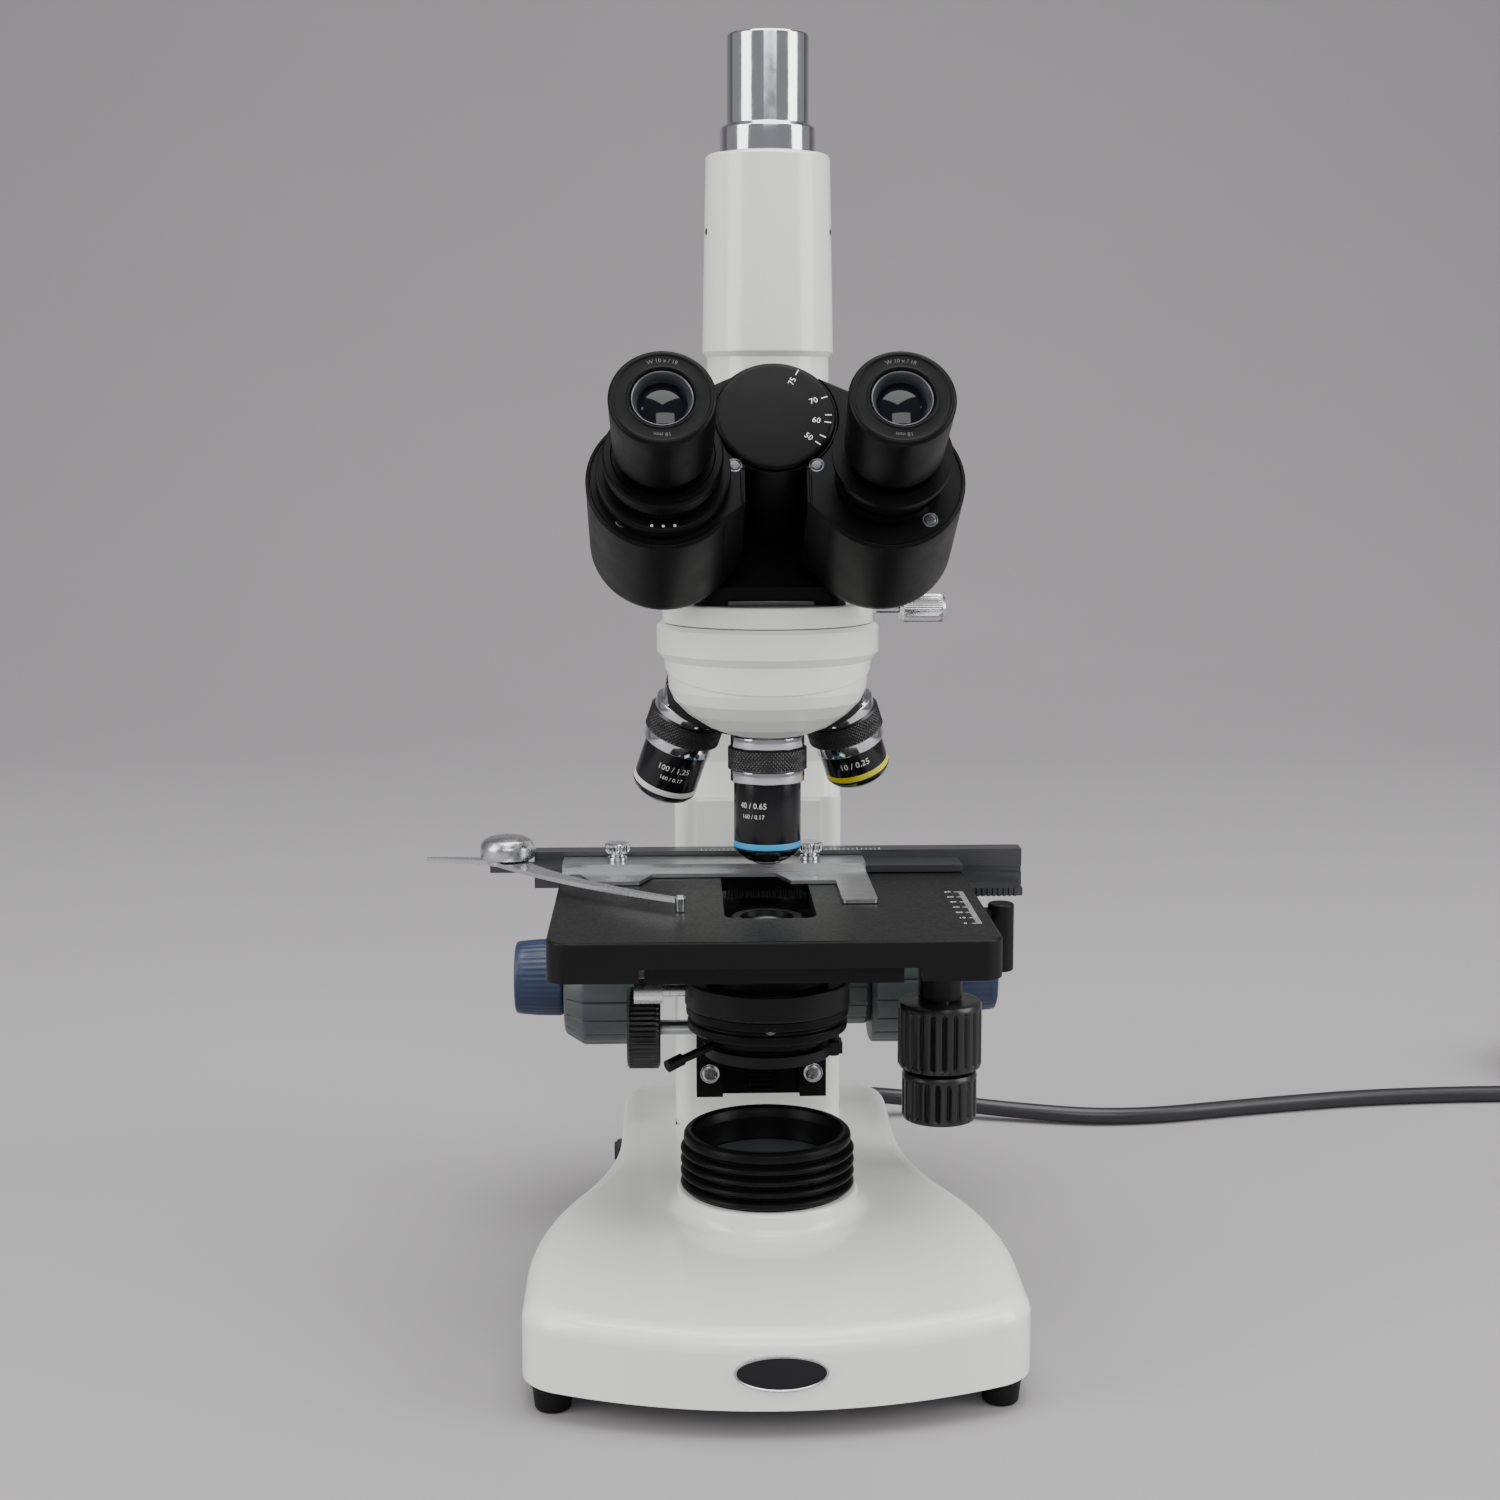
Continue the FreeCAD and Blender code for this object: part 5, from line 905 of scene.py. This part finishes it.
def make_badge():
    """Blank oval badge: a domed gloss plate in a thin bright rim, wrapped on the front curve."""
    def wrapped(name, rows, columns=96):
        a = np.arange(columns) * TURN / columns
        points = []
        for scale, out in rows:
            rx, rz = 13.3 - scale, 5.3 - scale
            if scale >= 5.3:
                rx, rz = 13.3 * 0.0, 0.0
            x = rx * np.cos(a)
            points.append(np.column_stack([x, base_front(x) - out, 20.0 + rz * np.sin(a)]))
        points = np.stack(points)
        return from_faces(name, points.reshape(-1, 3), grid_faces(len(points), columns, False, True), None)
    plate = [(9.0, -0.2), (0.7, -0.2), (0.7, 0.62), (1.4, 0.66), (3.0, 0.7), (9.0, 0.74)]
    fitted(wrapped("badge_plate", plate), "base", gloss_lacquer(), ("base_badge",))
    rim = [(0.75, -0.1), (0.0, -0.1), (0.0, 0.6), (0.15, 0.85), (0.45, 0.9), (0.75, 0.75), (0.75, -0.1)]
    fitted(wrapped("badge_rim", rim), "base", satin_chrome())


def make_feet():
    """Tapered rubber feet with a moulded lip."""
    feet = []
    for i, (x, y) in enumerate(((-64.5, -73.0), (64.5, -73.0), (-36.0, 112.0), (36.0, 112.0))):
        profile = [(0.0, 0.0), (4.4, 0.0), (5.2, 0.7), (5.9, 6.4), (6.4, 7.2), (6.4, 8.6), (6.0, 9.0),
                   (0.0, 9.0)]
        feet.append(lathe(f"foot_{i}", profile, Matrix.Translation((x * MM, y * MM, 0.0)), 72, 0.3))
    fitted(merged("feet", feet), "base", soft_rubber(), ("rubber_feet",))


# ---------------------------------------------------------------- pieces: cord

def coil_line(centre, turns, per_turn, diameter, outer, inner):
    """Centreline of a neat two-layer coil, as points: the radius steps in by a diameter a turn on the
    table, the line climbs one diameter, and the radius steps out again on the upper layer. Each step
    takes a sixth of a turn, just after the angle where the cord comes in."""
    t = np.arange(1, int(turns * per_turn) + 1) / per_turn
    pitch = (outer - inner) / 2.0
    step = np.clip((np.mod(t, 1.0) - 0.02) / 0.17, 0.0, 1.0)
    radius = np.interp(np.floor(t) + np.where(t < 1.0, 0.0, step), [0, 1, 2, 3, 4, 5, 6, 7],
                       [outer, outer, outer - pitch, inner, inner, inner + pitch, outer, outer])
    climb = np.clip((t - 2.75) / 0.25, 0.0, 1.0)
    height = 0.52 * diameter + 1.02 * diameter * climb
    angle = TURN * (t - 0.25)
    return np.column_stack([centre[0] + radius * np.cos(angle), centre[1] + radius * np.sin(angle), height])


def make_cord(diameter):
    """Mains cord as one NURBS line: from the strain relief along the table, round its coil and into
    the plug."""
    route = np.array(CORD_ROUTE)
    coil = coil_line((377.0, 243.5), 6.2, 15, diameter, 42.7, 29.3)
    tail = np.array([(419.0, 254.0, 9.95), (419.0, 265.0, 10.0)])
    points = np.concatenate([route, coil, tail])
    curve = bpy.data.curves.new("mains_lead", "CURVE")
    curve.dimensions = "3D"
    spline = curve.splines.new("NURBS")
    spline.points.add(len(points) - 1)
    spline.points.foreach_set("co", np.column_stack([points * MM, np.ones(len(points))]).ravel())
    spline.order_u = 3
    spline.use_endpoint_u = True
    spline.resolution_u = 6
    curve.bevel_depth = diameter / 2 * MM
    curve.bevel_resolution = 5
    curve.use_fill_caps = True
    lead = bpy.data.objects.new("mains_lead", curve)
    bpy.context.scene.collection.objects.link(lead)
    fitted(lead, "base", cord_jacket(), ("mains_cord", "mains_cord_coil"))
    plug = make_plug()


def make_plug():
    """Moulded plug: superellipse sections carried along Y with finger ridges, a ribbed relief, flat
    blades and a round earth pin."""
    y = np.array([279.0, 279.0, 279.8, 281.5, 284.0, 286.0, 288.0, 290.0, 292.0, 294.0, 296.0, 299.0,
                  308.5, 310.4, 311.0, 311.0])
    size = np.array([0.0, 0.58, 0.66, 0.72, 0.79, 0.76, 0.82, 0.79, 0.86, 0.83, 0.9, 0.98, 1.0, 0.97, 0.92,
                     0.0])
    a = np.arange(64) * TURN / 64
    c, s = np.cos(a), np.sin(a)
    x = 12.0 * np.sign(c) * np.abs(c) ** 0.45
    z = 9.9 * np.sign(s) * np.abs(s) ** 0.45
    points = np.stack([419.0 + np.outer(size, x), np.repeat(y[:, None], 64, 1), 10.0 + np.outer(size, z)],
                      -1)
    body = from_faces("plug_body", points.reshape(-1, 3), grid_faces(len(y), 64, False, True))
    relief = lathe("plug_relief", ribbed_taper(0.0, 16.0, 3.6, 5.6, 4, True), None, 48, 0.15)
    placed(relief, Matrix.Translation((0.419, 0.264, 0.010)) @ Matrix.Rotation(math.radians(-90.0), 4, "X"))
    fitted(merged("plug_moulding", [body, relief]), "base", black_moulding(),
           ("mains_plug",))
    blades = [block(f"blade_{i}", (419.0 + x - 0.8, 309.0, 9.0), (419.0 + x + 0.8, 327.0, 15.0), None, 0.25)
              for i, x in enumerate((-6.4, 6.4))]
    pin = lathe("earth_pin", [(0.0, 0.0), (2.4, 0.0), (2.4, 18.5), (1.6, 20.0), (0.0, 20.2)], None, 40, 0.2)
    placed(pin, Matrix.Translation((0.419, 0.309, 0.005)) @ Matrix.Rotation(math.radians(-90.0), 4, "X"))
    fitted(merged("plug_blades", blades + [pin]), "base", satin_chrome())
    return [bpy.data.objects["plug_moulding"], bpy.data.objects["plug_blades"]]


def ribbed_taper(start, end, small, large, ribs, widening):
    """Profile of a flexible relief: a cone cut by square grooves, from start to end along the cord."""
    z = np.linspace(start, end, ribs * 4 + 1)
    t = (z - start) / (end - start)
    r = small + (large - small) * (t if widening else 1 - t)
    r = r - np.where(np.arange(len(z)) % 4 >= 2, 0.7, 0.0)
    return np.concatenate([[(0.0, start)], np.column_stack([r, z]), [(0.0, end)]])


def make_gland():
    """Strain relief at the rear wall: a flange and a grooved rubber taper round the cord."""
    at = Matrix.Translation((0.020, 0.0, 0.020)) @ Matrix.Rotation(math.radians(-90.0), 4, "X")
    flange = [(0.0, 120.0), (4.9, 120.0), (4.9, 128.0), (6.9, 128.0), (7.0, 129.4), (6.4, 130.0),
              (0.0, 130.0)]
    taper = ribbed_taper(129.8, 150.6, 3.7, 5.7, 5, False)
    pieces = [lathe("gland_flange", flange, at, 64, 0.2), lathe("gland_taper", taper, at, 64, 0.15)]
    fitted(merged("strain_relief", pieces), "base", soft_rubber(), ("cord_gland",))


# ---------------------------------------------------------------- frame nodes that keep their shape

def node_finishes():
    """The finish of every frame node that stays visible."""
    return {
        "base_casting": stove_enamel, "arm_casting": stove_enamel, "nosepiece_cover": stove_enamel,
        "base_plate": brushed_steel, "base_screws": brushed_steel, "lamp_socket": porcelain,
        "halogen_lamp": lamp_glass, "transformer": machined_grey, "focus_guide": brushed_steel,
        "power_rocker": black_moulding, "dimmer_wheel": black_moulding,
        "focus_carriage": machined_grey, "stage_lower_plate": anodised_black,
            "condenser_rail": anodised_black,
        "tension_collar": grey_moulding, "trinocular_tube": stove_enamel,
        "stage_top_plate": anodised_black, "stage_side_post": anodised_black,
            "drive_sleeve": anodised_black,
        "x_bar": machined_grey, "slide_holder": brushed_steel, "spring_arm": satin_chrome,
        "condenser_carrier": anodised_black, "iris_lever": satin_enamel,
        "filter_holder": anodised_black, "condenser_clamp_screw": satin_chrome,
        "nosepiece_turret": satin_enamel, "head_ring": stove_enamel, "head_housing": satin_enamel,
        "wing_left": satin_enamel, "wing_right": satin_enamel,
    }


def dress_frame():
    """Puts the finishes on the frame nodes, through their own material slots."""
    for name, finish in node_finishes().items():
        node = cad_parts[name]
        if not node.material_slots:
            node.data.materials.append(finish())
        for held in node.material_slots:
            held.material = finish()


# ---------------------------------------------------------------- stage

def make_backdrop():
    """Pale paper sweep: flat under the object, then a wide curve up behind it."""
    y = np.concatenate([np.linspace(-2.6, 1.2, 12), 1.2 + 1.3 * np.sin(np.linspace(0, math.pi / 2,
                                                                                   16)[1:])])
    z = np.concatenate([np.zeros(12), 1.3 - 1.3 * np.cos(np.linspace(0, math.pi / 2, 16)[1:])])
    y = np.append(y, 2.5)
    z = np.append(z, 4.0)
    x = np.array([-4.5, 4.5])
    points = np.stack([np.broadcast_to(x, (len(y), 2)), np.repeat(y[:, None], 2, 1),
                       np.repeat(z[:, None], 2, 1)], -1)
    sweep = from_faces("backdrop", points.reshape(-1, 3) / MM, grid_faces(len(y), 2))
    sweep.data.materials.append(backdrop_paper())


def make_lights():
    """Soft studio light: a large overhead box, two side boxes and a weak front fill."""
    for name, place, aim, size, power in (
            ("overhead_box", (0.1, -0.1, 1.9), (0.0, 0.0, 0.1), (1.8, 1.4), 38.0),
            ("left_box", (-1.5, -0.7, 0.9), (0.0, 0.0, 0.2), (0.9, 1.5), 21.0),
            ("right_box", (1.6, -0.5, 0.9), (0.0, 0.0, 0.2), (0.9, 1.5), 25.0),
            ("front_fill", (0.2, -2.4, 1.5), (0.0, 0.0, 0.15), (1.6, 0.9), 20.0)):
        lamp = bpy.data.lights.new(name, "AREA")
        lamp.shape = "RECTANGLE"
        lamp.size, lamp.size_y = size
        lamp.energy = power
        holder = bpy.data.objects.new(name, lamp)
        holder.location = place
        holder.rotation_euler = (Vector(aim) - Vector(place)).to_track_quat("-Z", "Y").to_euler()
        bpy.context.scene.collection.objects.link(holder)
    world = bpy.data.worlds.new("studio_air")
    world.use_nodes = True
    world.node_tree.nodes["Background"].inputs[0].default_value = linear("#d5d5d8")
    world.node_tree.nodes["Background"].inputs[1].default_value = 0.45
    bpy.context.scene.world = world


def make_camera(lens, yaw, pitch, distance):
    """Camera in front of the microscope, a little to its left, looking slightly down."""
    data = bpy.data.cameras.new("camera")
    data.lens = lens
    data.sensor_width = 36.0
    data.shift_x = -0.0054
    data.shift_y = -0.06
    data.clip_end = 20.0
    camera = bpy.data.objects.new("camera", data)
    camera.location = (-0.02895, -distance, 0.2823)
    forward = Vector((math.sin(yaw) * math.cos(pitch), math.cos(yaw) * math.cos(pitch), -math.sin(pitch)))
    camera.rotation_euler = forward.to_track_quat("-Z", "Y").to_euler()
    bpy.context.scene.collection.objects.link(camera)
    bpy.context.scene.camera = camera


# ---------------------------------------------------------------- settings, operators and panel

class CordSettings(bpy.types.PropertyGroup):
    """Sizes of the mains cord."""
    diameter: bpy.props.FloatProperty(name="Diameter",
                                      description="Thickness of the mains cord in millimetres",
                                      default=6.5, min=4.0, max=9.0)
    length: bpy.props.FloatProperty(name="Length", description="Whole length of the mains cord",
                                    default=1.8, min=1.0, max=2.5, unit="LENGTH")


class CameraSettings(bpy.types.PropertyGroup):
    """Where the picture is taken from."""
    lens: bpy.props.FloatProperty(name="Lens", description="Focal length in millimetres", default=54.44,
                                  min=20.0, max=200.0)
    yaw: bpy.props.FloatProperty(name="Yaw", description="Turn of the view to the right", default=0.0372,
                                 subtype="ANGLE")
    pitch: bpy.props.FloatProperty(name="Pitch", description="Downward tilt of the view", default=0.1059,
                                   subtype="ANGLE")
    distance: bpy.props.FloatProperty(name="Distance", description="Distance in front of the optical axis",
                                      default=0.7, unit="LENGTH")


class MICROSCOPE_OT_camera(bpy.types.Operator):
    """Make the camera"""
    bl_idname = "microscope.camera"
    bl_label = "Camera"

    def execute(self, context):
        view = context.scene.microscope_camera
        make_camera(view.lens, view.yaw, view.pitch, view.distance)
        return {"FINISHED"}


class MICROSCOPE_OT_cord(bpy.types.Operator):
    """Make the mains cord, its coil, its plug and the strain relief"""
    bl_idname = "microscope.cord"
    bl_label = "Mains cord"

    def execute(self, context):
        cord = context.scene.microscope_cord
        make_cord(cord.diameter)
        make_gland()
        return {"FINISHED"}


class MICROSCOPE_OT_frame(bpy.types.Operator):
    """Put the finishes on the frame nodes that keep their shape"""
    bl_idname = "microscope.frame"
    bl_label = "Castings and plates"

    def execute(self, context):
        dress_frame()
        return {"FINISHED"}


class MICROSCOPE_OT_base(bpy.types.Operator):
    """Make the illuminator, the blank badge and the feet"""
    bl_idname = "microscope.base"
    bl_label = "Base fittings"

    def execute(self, context):
        make_illuminator()
        make_badge()
        make_feet()
        return {"FINISHED"}


class MICROSCOPE_OT_head(bpy.types.Operator):
    """Make the eyepieces, the rings, the hub dial, the photo tube and the head's small parts"""
    bl_idname = "microscope.head"
    bl_label = "Viewing head"

    def execute(self, context):
        make_eyepiece(-1, "left_eyepiece", "eyepiece_left")
        make_eyepiece(1, "right_eyepiece", "eyepiece_right")
        make_tube_rings()
        make_wing_details()
        make_head_fittings()
        make_photo_tube()
        return {"FINISHED"}


class MICROSCOPE_OT_objectives(bpy.types.Operator):
    """Make the four objectives"""
    bl_idname = "microscope.objectives"
    bl_label = "Objectives"

    def execute(self, context):
        make_objectives()
        return {"FINISHED"}


class MICROSCOPE_OT_stage_parts(bpy.types.Operator):
    """Make the scales, the holder's screws, the pivot knob, the drive grips and the condenser"""
    bl_idname = "microscope.stage_parts"
    bl_label = "Mechanical stage and condenser"

    def execute(self, context):
        make_stage_markings()
        make_holder_hardware()
        make_drive_knobs()
        make_condenser()
        return {"FINISHED"}


class MICROSCOPE_OT_focus(bpy.types.Operator):
    """Make the coarse and fine focus grips"""
    bl_idname = "microscope.focus"
    bl_label = "Focus knobs"

    def execute(self, context):
        make_focus_knobs()
        return {"FINISHED"}


class MICROSCOPE_OT_studio(bpy.types.Operator):
    """Make the backdrop and the lights"""
    bl_idname = "microscope.studio"
    bl_label = "Studio"

    def execute(self, context):
        make_backdrop()
        make_lights()
        return {"FINISHED"}


OPERATORS = (MICROSCOPE_OT_camera, MICROSCOPE_OT_cord, MICROSCOPE_OT_frame, MICROSCOPE_OT_base,
             MICROSCOPE_OT_head,
             MICROSCOPE_OT_objectives, MICROSCOPE_OT_stage_parts, MICROSCOPE_OT_focus, MICROSCOPE_OT_studio)


class MICROSCOPE_PT_panel(bpy.types.Panel):
    """Sidebar panel that lists the microscope's pieces"""
    bl_idname = "MICROSCOPE_PT_panel"
    bl_label = "Laboratory microscope"
    bl_space_type = "VIEW_3D"
    bl_region_type = "UI"
    bl_category = "Microscope"

    def draw(self, context):
        for group in (context.scene.microscope_camera, context.scene.microscope_cord):
            for name in group.__annotations__:
                self.layout.prop(group, name)
        for operator in OPERATORS:
            self.layout.operator(operator.bl_idname)


CLASSES = (CordSettings, CameraSettings) + OPERATORS + (MICROSCOPE_PT_panel,)


def register():
    for item in CLASSES:
        bpy.utils.register_class(item)
    bpy.types.Scene.microscope_cord = bpy.props.PointerProperty(type=CordSettings)
    bpy.types.Scene.microscope_camera = bpy.props.PointerProperty(type=CameraSettings)


def unregister():
    del bpy.types.Scene.microscope_camera
    del bpy.types.Scene.microscope_cord
    for item in reversed(CLASSES):
        bpy.utils.unregister_class(item)


def main():
    register()
    for operator in OPERATORS:
        getattr(bpy.ops.microscope, operator.bl_idname.split(".")[1])()


if __name__ == "__main__":
    main()
